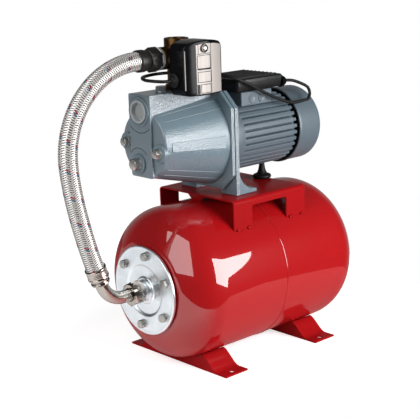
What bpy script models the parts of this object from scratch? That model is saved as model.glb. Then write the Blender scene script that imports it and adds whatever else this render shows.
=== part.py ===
# Jet pump set: a self-priming pump and its motor on a horizontal pressure tank, with a braided hose,
# a five-way fitting and a pressure switch. Metres, +Z up, +X towards the motor's fan, floor at z = 0.

from math import acos, asin, cos, pi, radians, sin, sqrt

import bmesh
import bpy
from mathutils import Matrix, Vector

MM = 0.001

# Fits shared by all pieces
SEAT = 0.3 * MM
RUNNING = 0.6 * MM
WELD = 0.001 * MM
OVERLAP = 0.5 * MM
FLUSH = 0.1 * MM
PAST = 2 * MM
CLEARANCE = 1 * MM

# Pressure tank
TANK_RADIUS = 135 * MM
TANK_STRAIGHT = 280 * MM
HEAD_DEPTH = 80 * MM
HEAD_POWER = 2.3
TANK_WALL = 2 * MM
TANK_LIFT = 11 * MM
SEAM_WIDTH = 6 * MM
SEAM_HEIGHT = 1.2 * MM
NECK_DEPTH = 66.5 * MM
NECK_RADIUS = 48 * MM
MEMBRANE_WALL = 2 * MM
MEMBRANE_RADIUS = 104 * MM
MEMBRANE_LENGTH = 340 * MM
MEMBRANE_NECK = 30 * MM
MEMBRANE_SWELL = 70 * MM
MEMBRANE_DOME = 90 * MM
MEMBRANE_LIP = 7 * MM
MEMBRANE_RIM = 2.5 * MM

# Tank flange and its bolts
FLANGE_RADIUS = 78 * MM
FLANGE_PLATE = 5 * MM
FLANGE_LIP = 1.5 * MM
DISH_RADIUS = 40 * MM
DISH_RISE = 3 * MM
NIPPLE_RADIUS = 16.5 * MM
NIPPLE_LENGTH = 28 * MM
NIPPLE_BORE = 10 * MM
FLANGE_BOLTS = 6
FLANGE_BOLT_TAIL = 8 * MM
BOLT_CIRCLE = 62 * MM
BOLT_TURN = radians(37.5)
BOLT_RADIUS = 4 * MM
BOLT_HOLE = 4.6 * MM
BOLT_FLATS = 13 * MM
BOLT_HEAD = 6 * MM

# Air valve on the far head
VALVE_RADIUS = 5 * MM
VALVE_STEM = 4 * MM
VALVE_DEPTH = 8 * MM
VALVE_COLLAR = 9 * MM
VALVE_COLLAR_WIDTH = 2 * MM
VALVE_REACH = 18 * MM
VALVE_CAP_RADIUS = 6.5 * MM
VALVE_CAP_END = 3 * MM
VALVE_CAP_CHAMFER = 1 * MM

# Feet
FOOT_WIDTH = 51.6 * MM
FOOT_REACH = 127 * MM
FOOT_SHEET = 2.5 * MM
FOOT_HOSE_END = -122 * MM
FOOT_MOTOR_END = 103.5 * MM
TOE_LENGTH = 22 * MM
TOE_HEIGHT = 3 * MM
TOE_HOLE = 5 * MM
TOE_HOLE_INSET = 13.2 * MM
SADDLE_HALF = 66 * MM

# Pump bracket on the tank
BRACKET_LOW_X = -90 * MM
BRACKET_HIGH_X = 86 * MM
BRACKET_HALF_DEPTH = 97 * MM
BRACKET_RISE = 12 * MM
BRACKET_SHEET = 3 * MM
BRACKET_BEND = 6 * MM
WINDOW_LOW_X = -46.5 * MM
WINDOW_HIGH_X = 38.5 * MM
WINDOW_STRIP = 14 * MM
TAB_HALF_TOP = 22 * MM
TAB_HALF_FOOT = 10 * MM
TAB_INSET = 1 * MM

# Pump casing, measured from the plane where it meets the motor bracket and from the shaft
SHAFT_HEIGHT = 95 * MM
MATING_X = -58.5 * MM
CASING_LENGTH = 140.5 * MM
CASING_FRONT_RADIUS = 56 * MM
CASING_FRONT_LIFT = 8 * MM
CASING_ROUNDING = 6 * MM
CASING_REAR_HALF_WIDTH = 68 * MM
CASING_REAR_HALF_HEIGHT = 82 * MM
JOINT_HALF_WIDTH = 71 * MM
JOINT_HALF_HEIGHT = 85 * MM
JOINT_CHAMFER = 27 * MM
CASING_FLANGE = 7 * MM
CAVITY_FRONT_RADIUS = 44 * MM
CAVITY_REAR_RADIUS = 60 * MM
CASING_WALL = 11 * MM
SLAB_OFFSET = 3 * MM
SLAB_HALF_WIDTH = 27.5 * MM
SLAB_RAISE = 5 * MM
SLAB_TOP = 92 * MM
SLAB_FOOT = 47 * MM
SLAB_ROUNDING = 5 * MM
BLOCK_SLOPE = 16 * MM
PORT_HEIGHT = 64 * MM
PORT_BOSS = 25 * MM
PORT_RAISE = 2.5 * MM
PORT_BORE = 16.6 * MM
PORT_DEPTH = 30 * MM
PORT_STEP_RADIUS = 20 * MM
PORT_STEP_DEPTH = 3 * MM
WATERWAY_RADIUS = 11 * MM
SIDE_PLUG_OFFSET = 40.5 * MM
FAR_PLUG_HEIGHT = 10 * MM
NEAR_PLUG_HEIGHT = -2 * MM
DRAIN_OFFSET = 9 * MM
DRAIN_HEIGHT = -24 * MM
PRIMING_X = -157 * MM
OUTLET_X = -120 * MM
OUTLET_BOSS = 24 * MM
OUTLET_BOSS_DEPTH = 12 * MM
OUTLET_WAY_END = 22 * MM
PRIMING_WAY_END = 33 * MM
ORING_RADIUS = 65 * MM
ORING_WIRE = 1.5 * MM

# Plugs
CAP_RING = 19.5 * MM
CAP_PROUD = 2 * MM
CAP_DEPTH = 12 * MM
CAP_HOLLOW = 12.5 * MM
CAP_FLOOR = 2 * MM
SIDE_PLUG_FLATS = 14 * MM
SIDE_PLUG_HEX = 8 * MM
SIDE_PLUG_THREAD = 6.3 * MM
SIDE_PLUG_BOSS = 16 * MM
SIDE_PLUG_RAISE = 4 * MM
DRAIN_FLATS = 18 * MM
DRAIN_HEX = 11 * MM
DRAIN_THREAD = 8 * MM
DRAIN_BOSS = 17 * MM
DRAIN_RAISE = 3 * MM
PRIMING_FLATS = 17 * MM
PRIMING_HEX = 8 * MM
PRIMING_THREAD = 8 * MM
PLUG_WASHER = 1.5 * MM
PLUG_WASHER_RIM = 2.5 * MM
PLUG_GRIP = 9 * MM

# Water end inside the casing
IMPELLER_RADIUS = 52 * MM
IMPELLER_HUB = 12 * MM
IMPELLER_LENGTH = 19 * MM
IMPELLER_EYE = 18 * MM
IMPELLER_BOSS = 1.5 * MM
IMPELLER_VANES = 5
IMPELLER_SWEEP = radians(-55)
SHROUD = 2.5 * MM
VANE_DEPTH = 6 * MM
DIFFUSER_CUP = 54 * MM
CUP_OVERLAP = 4 * MM
CUP_FLOOR = 3 * MM
CUP_SETBACK = 3 * MM
VENTURI_THROAT = 8 * MM
VENTURI_THROAT_REACH = 38 * MM
VENTURI_MOUTH = 11 * MM
VENTURI_WALL = 3.5 * MM
NOZZLE_FLANGE = 15 * MM
NOZZLE_FLANGE_WIDTH = 4 * MM
NOZZLE_ROOT = 10 * MM
NOZZLE_TIP = 6 * MM
NOZZLE_BORE = 4 * MM
NOZZLE_LENGTH = 20 * MM

# Motor bracket between the casing and the motor
GASKET_GAP = 0.6 * MM
LANTERN_PLATE = 8.5 * MM
LANTERN_HALF_WIDTH = 72 * MM
LANTERN_FOOT_LENGTH = 48.5 * MM
LANTERN_FOOT_HEIGHT = 7 * MM
LANTERN_ARCH_HALF = 33 * MM
LANTERN_ARCH_HEIGHT = 15 * MM
GUSSET_WIDTH = 10 * MM
GUSSET_SETBACK = 4 * MM
GUSSET_HEIGHT = 42 * MM
HUB_RADIUS = 27 * MM
HUB_LENGTH = 17 * MM
SPIGOT_LENGTH = 4 * MM
SPIGOT_WALL = 5 * MM
CASING_BOLT_Y = 52 * MM
CASING_BOLT_Z = 58 * MM
CASING_BOLT_GRIP = 5 * MM
FOOT_BOLT_SETBACK = 34.5 * MM
FOOT_BOLT_Y = 48 * MM
FOOT_BOLT_TAIL = 6 * MM

# Rotating parts and bearings
SHAFT_TIP_RADIUS = 6 * MM
SHAFT_SEAL_RADIUS = 7.5 * MM
SHAFT_FRONT_RADIUS = 8.5 * MM
SHAFT_CORE_RADIUS = 10 * MM
SHAFT_REAR_RADIUS = 7.5 * MM
SHAFT_FAN_RADIUS = 6.5 * MM
SHAFT_TIP_REACH = 3 * MM
SHAFT_END_REACH = 4 * MM
SHAFT_HOLE_GAP = 3 * MM
SEAL_RADIUS = 13 * MM
SEAL_LENGTH = 11 * MM
SEAL_FACE_LENGTH = 4 * MM
SEAL_STEP = 1.5 * MM
SEAL_SEAT_RADIUS = 16 * MM
SEAL_SEAT_WIDTH = 6 * MM
FRONT_BEARING_RADIUS = 20 * MM
FRONT_BEARING_WIDTH = 12 * MM
REAR_BEARING_RADIUS = 17.5 * MM
REAR_BEARING_WIDTH = 11 * MM
ROTOR_RADIUS = 32 * MM
ROTOR_LENGTH = 70 * MM
ROTOR_MIDDLE = 26 * MM

# Motor housing, stator and fan end
HOUSING_LENGTH = 153 * MM
HOUSING_BORE = 50 * MM
HOUSING_COLLAR = 64.5 * MM
COLLAR_LENGTH = 24 * MM
FIN_ROOT = 57 * MM
FIN_TIP = 65 * MM
FIN_WIDTH = 8.7 * MM
FIN_COUNT = 34
PAD_LOW_X = -20 * MM
PAD_HIGH_X = 55 * MM
PAD_HALF_WIDTH = 50 * MM
PAD_TOP = 78 * MM
PAD_FOOT = 53 * MM
PAD_ROUNDING = 3 * MM
KNOCKOUT_RADIUS = 8 * MM
KNOCKOUT_RISE = 1.2 * MM
KNOCKOUT_DROP = 13 * MM
KNOCKOUT_SPACING = 23 * MM
STATOR_BORE = 33 * MM
WINDING_LENGTH = 18 * MM
WINDING_STEP = 3 * MM
SHIELD_RADIUS = 58 * MM
SHIELD_RIM_WIDTH = 4 * MM
SHIELD_GAP = 4 * MM
SHIELD_PLATE = 6 * MM
SHIELD_SPIGOT = 6 * MM
COVER_RADIUS = 68 * MM
COVER_LENGTH = 61 * MM
COVER_WALL = 1.6 * MM
COVER_ROUNDING = 11 * MM
COVER_SLOTS = 16
SLOT_WIDTH = 3 * MM
SLOT_INNER = 16 * MM
SLOT_OUTER = 52 * MM
FAN_RADIUS = 59 * MM
FAN_GAP = 5 * MM
FAN_HUB = 12 * MM
FAN_BLADES = 6
FAN_BLADE_WIDTH = 2.4 * MM
FAN_DEPTH = 26 * MM
FAN_DISC = 48 * MM
FAN_SHEET = 2 * MM
SUPPORT_X = 76 * MM
SUPPORT_DISC = 17 * MM
SUPPORT_DISC_HEIGHT = 8 * MM
SUPPORT_STEM_TOP = 5 * MM
SUPPORT_STEM_FOOT = 10 * MM

# Terminal box
BOX_LOW_X = -29 * MM
BOX_HIGH_X = 85 * MM
BOX_HALF_WIDTH = 50 * MM
BOX_HEIGHT = 15 * MM
BOX_WALL = 2.5 * MM
BOX_ROUNDING = 3 * MM
LID_HEIGHT = 10 * MM
CAPACITOR_RADIUS = 9.5 * MM
CAPACITOR_LENGTH = 62 * MM
BOX_GLAND_Y = -39 * MM
GLAND_RADIUS = 10.5 * MM
GLAND_LENGTH = 13 * MM
GLAND_BARREL = 9 * MM
GLAND_NOSE = 7.5 * MM
GLAND_THREAD = 5 * MM

# Five-way fitting
FITTING_THREAD = 16.2 * MM
FITTING_GRIP = 10 * MM
FITTING_HEX_FLATS = 38 * MM
FITTING_HEX = 9 * MM
FITTING_BODY = 17 * MM
FITTING_BORE = 6 * MM
FITTING_HEIGHT = 86 * MM
FITTING_COLLAR = 21 * MM
FITTING_COLLAR_HEIGHT = 20 * MM
FITTING_SOCKET = 16 * MM
FITTING_SOCKET_DEPTH = 18 * MM
HOSE_PORT_HEIGHT = 54 * MM
HOSE_PORT_RADIUS = 19 * MM
HOSE_PORT_REACH = 38 * MM
HOSE_PORT_THREAD = 15.7 * MM
HOSE_PORT_GRIP = 19 * MM
SWITCH_PORT_HEIGHT = 41 * MM
SWITCH_PORT_RADIUS = 9 * MM
SWITCH_PORT_BORE = 2.5 * MM
SWITCH_PORT_REACH = 18 * MM
REAR_BOSS_RADIUS = 10 * MM
REAR_BOSS_REACH = 24 * MM

# Pressure switch
SWITCH_X = -123.5 * MM
SWITCH_WIDTH = 84 * MM
SWITCH_HEIGHT = 90 * MM
SWITCH_DEPTH = 34 * MM
SWITCH_BULGE = 11 * MM
SWITCH_WALL = 2.5 * MM
SWITCH_ROUNDING = 12 * MM
CHAMBER_RADIUS = 30 * MM
CHAMBER_DEPTH = 9 * MM
CHAMBER_NECK = 3 * MM
SWITCH_PLATE = 4 * MM
PLATE_MARGIN = 4 * MM
COVER_NUT_X = -130 * MM
COVER_NUT_DROP = 13 * MM
COVER_NUT_RADIUS = 6 * MM
COVER_NUT_LENGTH = 6 * MM
COVER_NUT_RECESS = 2 * MM
COVER_STUD_LENGTH = 8 * MM
COVER_STUD = 2.5 * MM
SWITCH_GLAND_RADIUS = 12 * MM
SWITCH_GLAND_LENGTH = 9 * MM
SWITCH_GLAND_BARREL = 4.5 * MM
SWITCH_GLAND_NOSE = 7 * MM
SWITCH_GLAND_THREAD = 8 * MM
SWITCH_GLAND_DEPTH = 11 * MM
SWITCH_GLAND_RISE = 26 * MM
LEVER_LENGTH = 42 * MM
LEVER_HALF_WIDTH = 21 * MM
LEVER_SHEET = 2 * MM
LEVER_KNUCKLE = 2.5 * MM
LEVER_RISE = 24 * MM
LEVER_SETBACK = 8 * MM
LEVER_SHOULDER = 4 * MM
EAR_WIDTH = 3 * MM
EAR_HALF_HEIGHT = 5 * MM

# Hose and its end pieces
HOSE_RADIUS = 16 * MM
HOSE_BORE = 10 * MM
HOSE_APEX_X = -354 * MM
HOSE_APEX_Z = 392 * MM
HOSE_ROUNDNESS = 0.5523
HOSE_LOWER_PULL = 50 * MM
HOSE_RINGS = 9
NUT_LIP = 6 * MM
NUT_WALL_LENGTH = 20 * MM
TOP_NUT_FLATS = 36 * MM
ELBOW_NUT_FLATS = 38 * MM
FERRULE_WALL = 1.7 * MM
FERRULE_SLEEVE = 17 * MM
FERRULE_END = 4 * MM
FERRULE_CHAMFER = 2 * MM
BEAD_BACK = 10 * MM
BEAD_CREST = 7 * MM
BEAD_FRONT = 4 * MM
BEAD_LOW = 3 * MM
BEAD_HIGH = 5 * MM
TAIL_RADIUS = 11 * MM
TAIL_COLLAR = 2.5 * MM
TAIL_BORE = 8 * MM
TAIL_LENGTH = 10 * MM
ELBOW_STRAIGHT = 22 * MM
ELBOW_BEND = 45 * MM
ELBOW_ANGLE = radians(70)
ELBOW_LEAD = 15 * MM
ELBOW_STEPS = 7

# Cable from the terminal box to the switch
CABLE_RADIUS = 2.8 * MM
CABLE_INSERT = 6 * MM
CABLE_LEAD = 8 * MM
CABLE_STEP = 20 * MM

# Facets round a full turn
TANK_STEPS = 28
FINE = 24
BORED = 16
ROUND = 16
HIDDEN = 10
SMALL = 12
FIXING = 8
GUSSET_STEPS = 4
HEX = 6

# Places worked out from the sizes above
TANK_Z = TANK_LIFT + TANK_RADIUS
TANK_TOP = TANK_Z + TANK_RADIUS
TANK_END = TANK_STRAIGHT / 2 + HEAD_DEPTH
DECK_Z = TANK_TOP + BRACKET_RISE
SHAFT_Z = DECK_Z + SHAFT_HEIGHT
NECK_X = -TANK_STRAIGHT / 2 - NECK_DEPTH
FLANGE_BACK = NECK_X - 2 * SEAT - MEMBRANE_RIM
FLANGE_FRONT = FLANGE_BACK - FLANGE_PLATE
NIPPLE_END = FLANGE_BACK - NIPPLE_LENGTH
CASING_FRONT = MATING_X - CASING_LENGTH
CAVITY_FRONT = CASING_FRONT + CASING_WALL
SLAB_FACE = CASING_FRONT - SLAB_RAISE
PORT_FACE = SLAB_FACE - PORT_RAISE
CASING_TOP = SHAFT_Z + SLAB_TOP
LANTERN_FRONT = MATING_X + GASKET_GAP
LANTERN_BACK = LANTERN_FRONT + LANTERN_PLATE
HOUSING_FRONT = LANTERN_BACK + SEAT
HOUSING_BACK = HOUSING_FRONT + HOUSING_LENGTH
SHIELD_FRONT = HOUSING_BACK + SEAT
COVER_FRONT = SHIELD_FRONT + SHIELD_GAP
COVER_BACK = COVER_FRONT + COVER_LENGTH
HUB_BACK = LANTERN_BACK + HUB_LENGTH
FRONT_BEARING_X = HUB_BACK - SEAT - FRONT_BEARING_WIDTH
REAR_BEARING_X = SHIELD_FRONT + SHIELD_PLATE
FAN_X = REAR_BEARING_X + REAR_BEARING_WIDTH + FAN_GAP
SEAL_BACK = LANTERN_FRONT - SEAT
SEAL_FRONT = SEAL_BACK - SEAL_LENGTH
IMPELLER_BACK = SEAL_FRONT - 2 * SEAT
IMPELLER_FRONT = IMPELLER_BACK - IMPELLER_LENGTH
BOX_Z = SHAFT_Z + PAD_TOP + SEAT
LID_Z = BOX_Z + BOX_HEIGHT + SEAT
BOX_GLAND_Z = BOX_Z + BOX_HEIGHT / 2
FITTING_FOOT = CASING_TOP + 2 * SEAT
HOSE_PORT_Z = FITTING_FOOT + HOSE_PORT_HEIGHT
HOSE_PORT_X = OUTLET_X - HOSE_PORT_REACH
HOSE_THREAD_END = HOSE_PORT_X - HOSE_PORT_GRIP
SWITCH_Z = FITTING_FOOT + SWITCH_PORT_HEIGHT
CHAMBER_FRONT = -SWITCH_PORT_REACH - SEAT - CHAMBER_NECK - CHAMBER_DEPTH
PLATE_FRONT = CHAMBER_FRONT - SWITCH_PLATE
SWITCH_BACK = PLATE_FRONT - SEAT
SWITCH_FRONT = SWITCH_BACK - SWITCH_DEPTH
SWITCH_LOW_X = SWITCH_X - SWITCH_WIDTH / 2
SWITCH_HIGH_X = SWITCH_X + SWITCH_WIDTH / 2
SWITCH_FOOT = SWITCH_Z - SWITCH_HEIGHT / 2
SWITCH_HEAD = SWITCH_Z + SWITCH_HEIGHT / 2
SWITCH_GLAND_Y = SWITCH_BACK - SWITCH_GLAND_DEPTH
SWITCH_GLAND_Z = SWITCH_FOOT + SWITCH_GLAND_RISE
LEVER_Y = PLATE_FRONT - LEVER_SETBACK
LEVER_Z = SWITCH_FOOT + LEVER_RISE
ELBOW_START = NIPPLE_END - SEAT
ELBOW_DIRECTION = Vector((-cos(ELBOW_ANGLE), 0, sin(ELBOW_ANGLE)))
ELBOW_ARC_X = ELBOW_START - ELBOW_STRAIGHT
ELBOW_ARC_END = Vector((ELBOW_ARC_X - ELBOW_BEND * sin(ELBOW_ANGLE), 0,
                        TANK_Z + ELBOW_BEND * (1 - cos(ELBOW_ANGLE))))
ELBOW_END = ELBOW_ARC_END + ELBOW_DIRECTION * ELBOW_LEAD
TOP_TAIL_X = HOSE_THREAD_END - SEAT
TOP_FERRULE_X = TOP_TAIL_X - TAIL_LENGTH
HOSE_TOP = Vector((TOP_FERRULE_X - FERRULE_END - SEAT, 0, HOSE_PORT_Z))
HOSE_FOOT = ELBOW_END + ELBOW_DIRECTION * (FERRULE_END + SEAT)
HOSE_APEX = Vector((HOSE_APEX_X, 0, HOSE_APEX_Z))
ASSEMBLY_X = (HOSE_RADIUS - HOSE_APEX_X - TANK_END - VALVE_REACH) / 2

# Cable route by hand, from the terminal box's gland round behind the fitting to the switch's gland
CABLE_ROUTE = [
    (116 * MM, -46 * MM, 472 * MM),
    (137 * MM, -57 * MM, 460 * MM),
    (143 * MM, -63 * MM, 448 * MM),
    (125 * MM, -65 * MM, 439 * MM),
    (92 * MM, -63 * MM, 437 * MM),
    (45 * MM, -62 * MM, 453 * MM),
    (-8 * MM, -61 * MM, 479 * MM),
    (-40 * MM, -53 * MM, 494 * MM),
    (-62 * MM, -26 * MM, 501 * MM),
    (-76 * MM, 8 * MM, 503 * MM),
    (-96 * MM, 36 * MM, 503 * MM),
    (-128 * MM, 46 * MM, 503 * MM),
    (-162 * MM, 36 * MM, 503 * MM),
    (-186 * MM, 13 * MM, 504 * MM),
    (-199 * MM, -11 * MM, 504 * MM),
    (-200 * MM, -32 * MM, 504 * MM),
    (-190 * MM, -44 * MM, 503 * MM),
]

# Finish of each kind of surface: sRGB colour, roughness, metallic
FINISHES = {
    "red enamel": ("B92226", 0.22, 0.0),
    "hammered grey paint": ("6B7880", 0.35, 0.0),
    "motor grey paint": ("758389", 0.45, 0.0),
    "black plastic": ("17181A", 0.35, 0.0),
    "black rubber": ("141414", 0.7, 0.0),
    "grey plastic": ("B9BCBC", 0.45, 0.0),
    "white plastic": ("D9D6CC", 0.5, 0.0),
    "zinc plate": ("B8BEC4", 0.35, 1.0),
    "nickel": ("BDB9B2", 0.2, 1.0),
    "brass": ("B58A3C", 0.3, 1.0),
    "steel": ("8E9194", 0.35, 1.0),
    "electrical steel": ("5C5F63", 0.5, 1.0),
    "copper winding": ("8A4A2B", 0.45, 0.6),
    "steel braid": ("A9AAA8", 0.35, 1.0),
}

# Rotations that lay a turned shape's own axis along a direction of the assembly
TURNED = {
    "+X": (0, pi / 2, 0),
    "-X": (0, -pi / 2, 0),
    "+Y": (-pi / 2, 0, 0),
    "-Y": (pi / 2, 0, 0),
    "+Z": (0, 0, 0),
}
PLANES = {"YZ": (pi / 2, 0, pi / 2), "XZ": (pi / 2, 0, 0)}
NORMALS = {"YZ": Vector((1, 0, 0)), "XZ": Vector((0, 1, 0))}


def clear_scene():
    for obj in list(bpy.data.objects):
        bpy.data.objects.remove(obj, do_unlink=True)


def new_collection(name):
    group = bpy.data.collections.new(name)
    bpy.context.scene.collection.children.link(group)
    return group


def smoothing_group():
    """Geometry nodes that shade a mesh smooth, with sharp edges where it turns by over 35 degrees."""
    group = bpy.data.node_groups.new("smooth by angle", "GeometryNodeTree")
    group.interface.new_socket("Mesh", in_out="INPUT", socket_type="NodeSocketGeometry")
    group.interface.new_socket("Mesh", in_out="OUTPUT", socket_type="NodeSocketGeometry")
    source = group.nodes.new("NodeGroupInput")
    result = group.nodes.new("NodeGroupOutput")
    angle = group.nodes.new("GeometryNodeInputMeshEdgeAngle")
    gentle = group.nodes.new("FunctionNodeCompare")
    gentle.operation = "LESS_THAN"
    gentle.inputs["B"].default_value = radians(35)
    faces = group.nodes.new("GeometryNodeSetShadeSmooth")
    faces.domain = "FACE"
    edges = group.nodes.new("GeometryNodeSetShadeSmooth")
    edges.domain = "EDGE"
    group.links.new(source.outputs[0], faces.inputs["Geometry"])
    group.links.new(faces.outputs[0], edges.inputs["Geometry"])
    group.links.new(angle.outputs["Unsigned Angle"], gentle.inputs["A"])
    group.links.new(gentle.outputs[0], edges.inputs["Shade Smooth"])
    group.links.new(edges.outputs[0], result.inputs[0])
    return group


clear_scene()
PARTS = new_collection("jet pump set")
CUTTERS = new_collection("cutters")
SMOOTHING = smoothing_group()
ASSEMBLY = bpy.data.objects.new("assembly", None)
ASSEMBLY.location.x = ASSEMBLY_X
PARTS.objects.link(ASSEMBLY)


def linear(channel):
    return channel / 12.92 if channel <= 0.04045 else ((channel + 0.055) / 1.055) ** 2.4


def material_for(name, finish):
    colour, roughness, metallic = FINISHES[finish]
    material = bpy.data.materials.new(f"{name} {finish}")
    material.use_nodes = True
    shader = material.node_tree.nodes["Principled BSDF"]
    channels = [linear(int(colour[i:i + 2], 16) / 255) for i in (0, 2, 4)]
    shader.inputs["Base Color"].default_value = (*channels, 1)
    shader.inputs["Roughness"].default_value = roughness
    shader.inputs["Metallic"].default_value = metallic
    return material


def add_helper(name, data):
    """A new object starts as a helper: it cuts, joins or guides others until make_part shows it."""
    obj = bpy.data.objects.new(name, data)
    CUTTERS.objects.link(obj)
    obj.parent = ASSEMBLY
    obj.hide_render = True
    obj.display_type = "WIRE"
    return obj


def make_part(obj, finish):
    CUTTERS.objects.unlink(obj)
    PARTS.objects.link(obj)
    obj.hide_render = False
    obj.display_type = "TEXTURED"
    obj.data.materials.clear()
    obj.data.materials.append(material_for(obj.name, finish))
    obj.modifiers.new("shading", "NODES").node_group = SMOOTHING
    return obj


def from_bmesh(name, bm):
    mesh = bpy.data.meshes.new(name)
    bm.to_mesh(mesh)
    bm.free()
    return add_helper(name, mesh)


def box(name, low, high):
    low, high = Vector(low), Vector(high)
    bm = bmesh.new()
    bmesh.ops.create_cube(bm, size=1)
    bmesh.ops.scale(bm, vec=high - low, verts=bm.verts)
    bmesh.ops.translate(bm, vec=(low + high) / 2, verts=bm.verts)
    return from_bmesh(name, bm)


def rod(name, start, end, radius, end_radius=None, sides=ROUND, turn=0.0):
    """A straight round or many-sided bar between two points, tapered where it has two radii."""
    start, end = Vector(start), Vector(end)
    run = end - start
    bm = bmesh.new()
    bmesh.ops.create_cone(bm, cap_ends=True, segments=sides, depth=run.length, radius1=radius,
                          radius2=radius if end_radius is None else end_radius)
    aim = run.to_track_quat("Z", "Y").to_matrix().to_4x4() @ Matrix.Rotation(turn, 4, "Z")
    bmesh.ops.transform(bm, matrix=Matrix.Translation((start + end) / 2) @ aim, verts=bm.verts)
    return from_bmesh(name, bm)


def hex_bar(name, start, end, flats, turn=0.0):
    return rod(name, start, end, flats / sqrt(3), sides=HEX, turn=turn)


def lathe(name, profile, origin, axis="+X", steps=ROUND, rotation=None):
    """Turns (distance along the axis, radius) points. A profile that ends on the axis is left open there."""
    pairs = zip(profile, profile[1:] + profile[:1])
    if sum(a0 * r1 - a1 * r0 for (a0, r0), (a1, r1) in pairs) < 0:
        profile = profile[::-1]
    closes_on_axis = profile[0][1] == 0 and profile[-1][1] == 0
    edges = [(i, i + 1) for i in range(len(profile) - 1)]
    if not closes_on_axis:
        edges.append((len(profile) - 1, 0))
    mesh = bpy.data.meshes.new(name)
    mesh.from_pydata([(radius, 0, along) for along, radius in profile], edges, [])
    obj = add_helper(name, mesh)
    obj.location = origin
    obj.rotation_euler = rotation or TURNED[axis]
    turn = obj.modifiers.new("turn", "SCREW")
    turn.angle = 2 * pi
    turn.steps = turn.render_steps = steps
    turn.use_merge_vertices = True
    turn.merge_threshold = WELD
    return obj


def mesh_of(guide):
    """Makes a curve into a mesh with its caps welded, so that it can be cut and joined."""
    bpy.context.view_layer.update()
    evaluated = guide.evaluated_get(bpy.context.evaluated_depsgraph_get())
    mesh = bpy.data.meshes.new_from_object(evaluated)
    bm = bmesh.new()
    bm.from_mesh(mesh)
    bmesh.ops.remove_doubles(bm, verts=bm.verts, dist=WELD)
    bmesh.ops.recalc_face_normals(bm, faces=bm.faces)
    bm.to_mesh(mesh)
    bm.free()
    name = guide.name
    guide.name = f"{name} guide"
    obj = add_helper(name, mesh)
    obj.matrix_world = guide.matrix_world
    bpy.data.objects.remove(guide, do_unlink=True)
    return obj


def plate(name, outline, low, high, plane="YZ"):
    """A flat outline given a thickness, from low to high along the normal of its plane."""
    curve = bpy.data.curves.new(name, "CURVE")
    curve.dimensions = "2D"
    curve.fill_mode = "BOTH"
    curve.extrude = (high - low) / 2
    spline = curve.splines.new("POLY")
    spline.points.add(len(outline) - 1)
    for point, (across, up) in zip(spline.points, outline):
        point.co = (across, up, 0, 1)
    spline.use_cyclic_u = True
    guide = add_helper(name, curve)
    guide.rotation_euler = PLANES[plane]
    guide.location = NORMALS[plane] * (low + high) / 2
    return mesh_of(guide)


def tube(name, points, radius, resolution=4):
    curve = bpy.data.curves.new(name, "CURVE")
    curve.dimensions = "3D"
    curve.fill_mode = "FULL"
    curve.bevel_depth = radius
    curve.bevel_resolution = resolution
    curve.use_fill_caps = True
    spline = curve.splines.new("POLY")
    spline.points.add(len(points) - 1)
    for point, place in zip(spline.points, points):
        point.co = (*place, 1)
    return mesh_of(add_helper(name, curve))


def combine(target, operation, others):
    for other in others:
        step = target.modifiers.new(other.name, "BOOLEAN")
        step.operation = operation
        step.solver = "EXACT"
        step.object = other
    return target


def cut(target, *cutters):
    return combine(target, "DIFFERENCE", cutters)


def join(target, *pieces):
    return combine(target, "UNION", pieces)


def soften(obj, width, segments=2):
    edge = obj.modifiers.new("rounded edges", "BEVEL")
    edge.width = width
    edge.segments = segments
    edge.limit_method = "ANGLE"
    edge.angle_limit = radians(50)
    return obj


def arc(center, radius, start, end, steps):
    """Points on a circle in a plane, from one angle to another, both included."""
    angles = [start + (end - start) * i / steps for i in range(steps + 1)]
    return [(center[0] + radius * cos(a), center[1] + radius * sin(a)) for a in angles]


def rounded_rectangle(low, high, radius, steps=3):
    (u0, v0), (u1, v1) = low, high
    corners = [(u1 - radius, v0 + radius), (u1 - radius, v1 - radius),
               (u0 + radius, v1 - radius), (u0 + radius, v0 + radius)]
    outline = []
    for quarter, corner in enumerate(corners):
        start = (quarter - 1) * pi / 2
        outline += arc(corner, radius, start, start + pi / 2, steps)
    return outline


def vane_outline(count, root, tip, width, sweep=0.0, steps=1):
    """Outline of a round hub with vanes of even width that leave it at radius root and end at radius tip."""
    shares = [i / steps for i in range(steps + 1)]
    outline = []
    for index in range(count):
        start = 2 * pi * index / count
        for side, order in ((-1, shares), (1, shares[::-1])):
            for share in order:
                radius = root + (tip - root) * share
                angle = start + sweep * share + side * width / 2 / radius
                outline.append((radius * cos(angle), radius * sin(angle)))
    return outline


def raised(outline, height):
    return [(across, up + height) for across, up in outline]


def smooth_path(points, step):
    """Points about one step apart on a smooth curve through the given ones."""
    points = [Vector(p) for p in points]
    padded = [2 * points[0] - points[1]] + points + [2 * points[-1] - points[-2]]
    path = [points[0]]
    for p0, p1, p2, p3 in zip(padded, padded[1:], padded[2:], padded[3:]):
        pieces = max(1, round((p2 - p1).length / step))
        for i in range(1, pieces + 1):
            t = i / pieces
            path.append(0.5 * (2 * p1 + (p2 - p0) * t + (2 * p0 - 5 * p1 + 4 * p2 - p3) * t ** 2
                               + (3 * p1 - p0 - 3 * p2 + p3) * t ** 3))
    return path


def bezier(p0, p1, p2, p3, steps):
    shares = [i / steps for i in range(steps + 1)]
    return [p0 * (1 - t) ** 3 + 3 * p1 * t * (1 - t) ** 2 + 3 * p2 * t ** 2 * (1 - t) + p3 * t ** 3
            for t in shares]


def on_shaft(x):
    return Vector((x, 0, SHAFT_Z))


def bolt(name, head, direction, length):
    """A hexagon bolt: head is where its head meets the clamped face, direction runs along the shank."""
    head, direction = Vector(head), Vector(direction)
    piece = hex_bar(name, head - direction * BOLT_HEAD, head, BOLT_FLATS)
    shank = rod(f"{name} shank", head - direction * OVERLAP, head + direction * length, BOLT_RADIUS,
                sides=FIXING)
    return make_part(join(piece, shank), "zinc plate")


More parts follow.
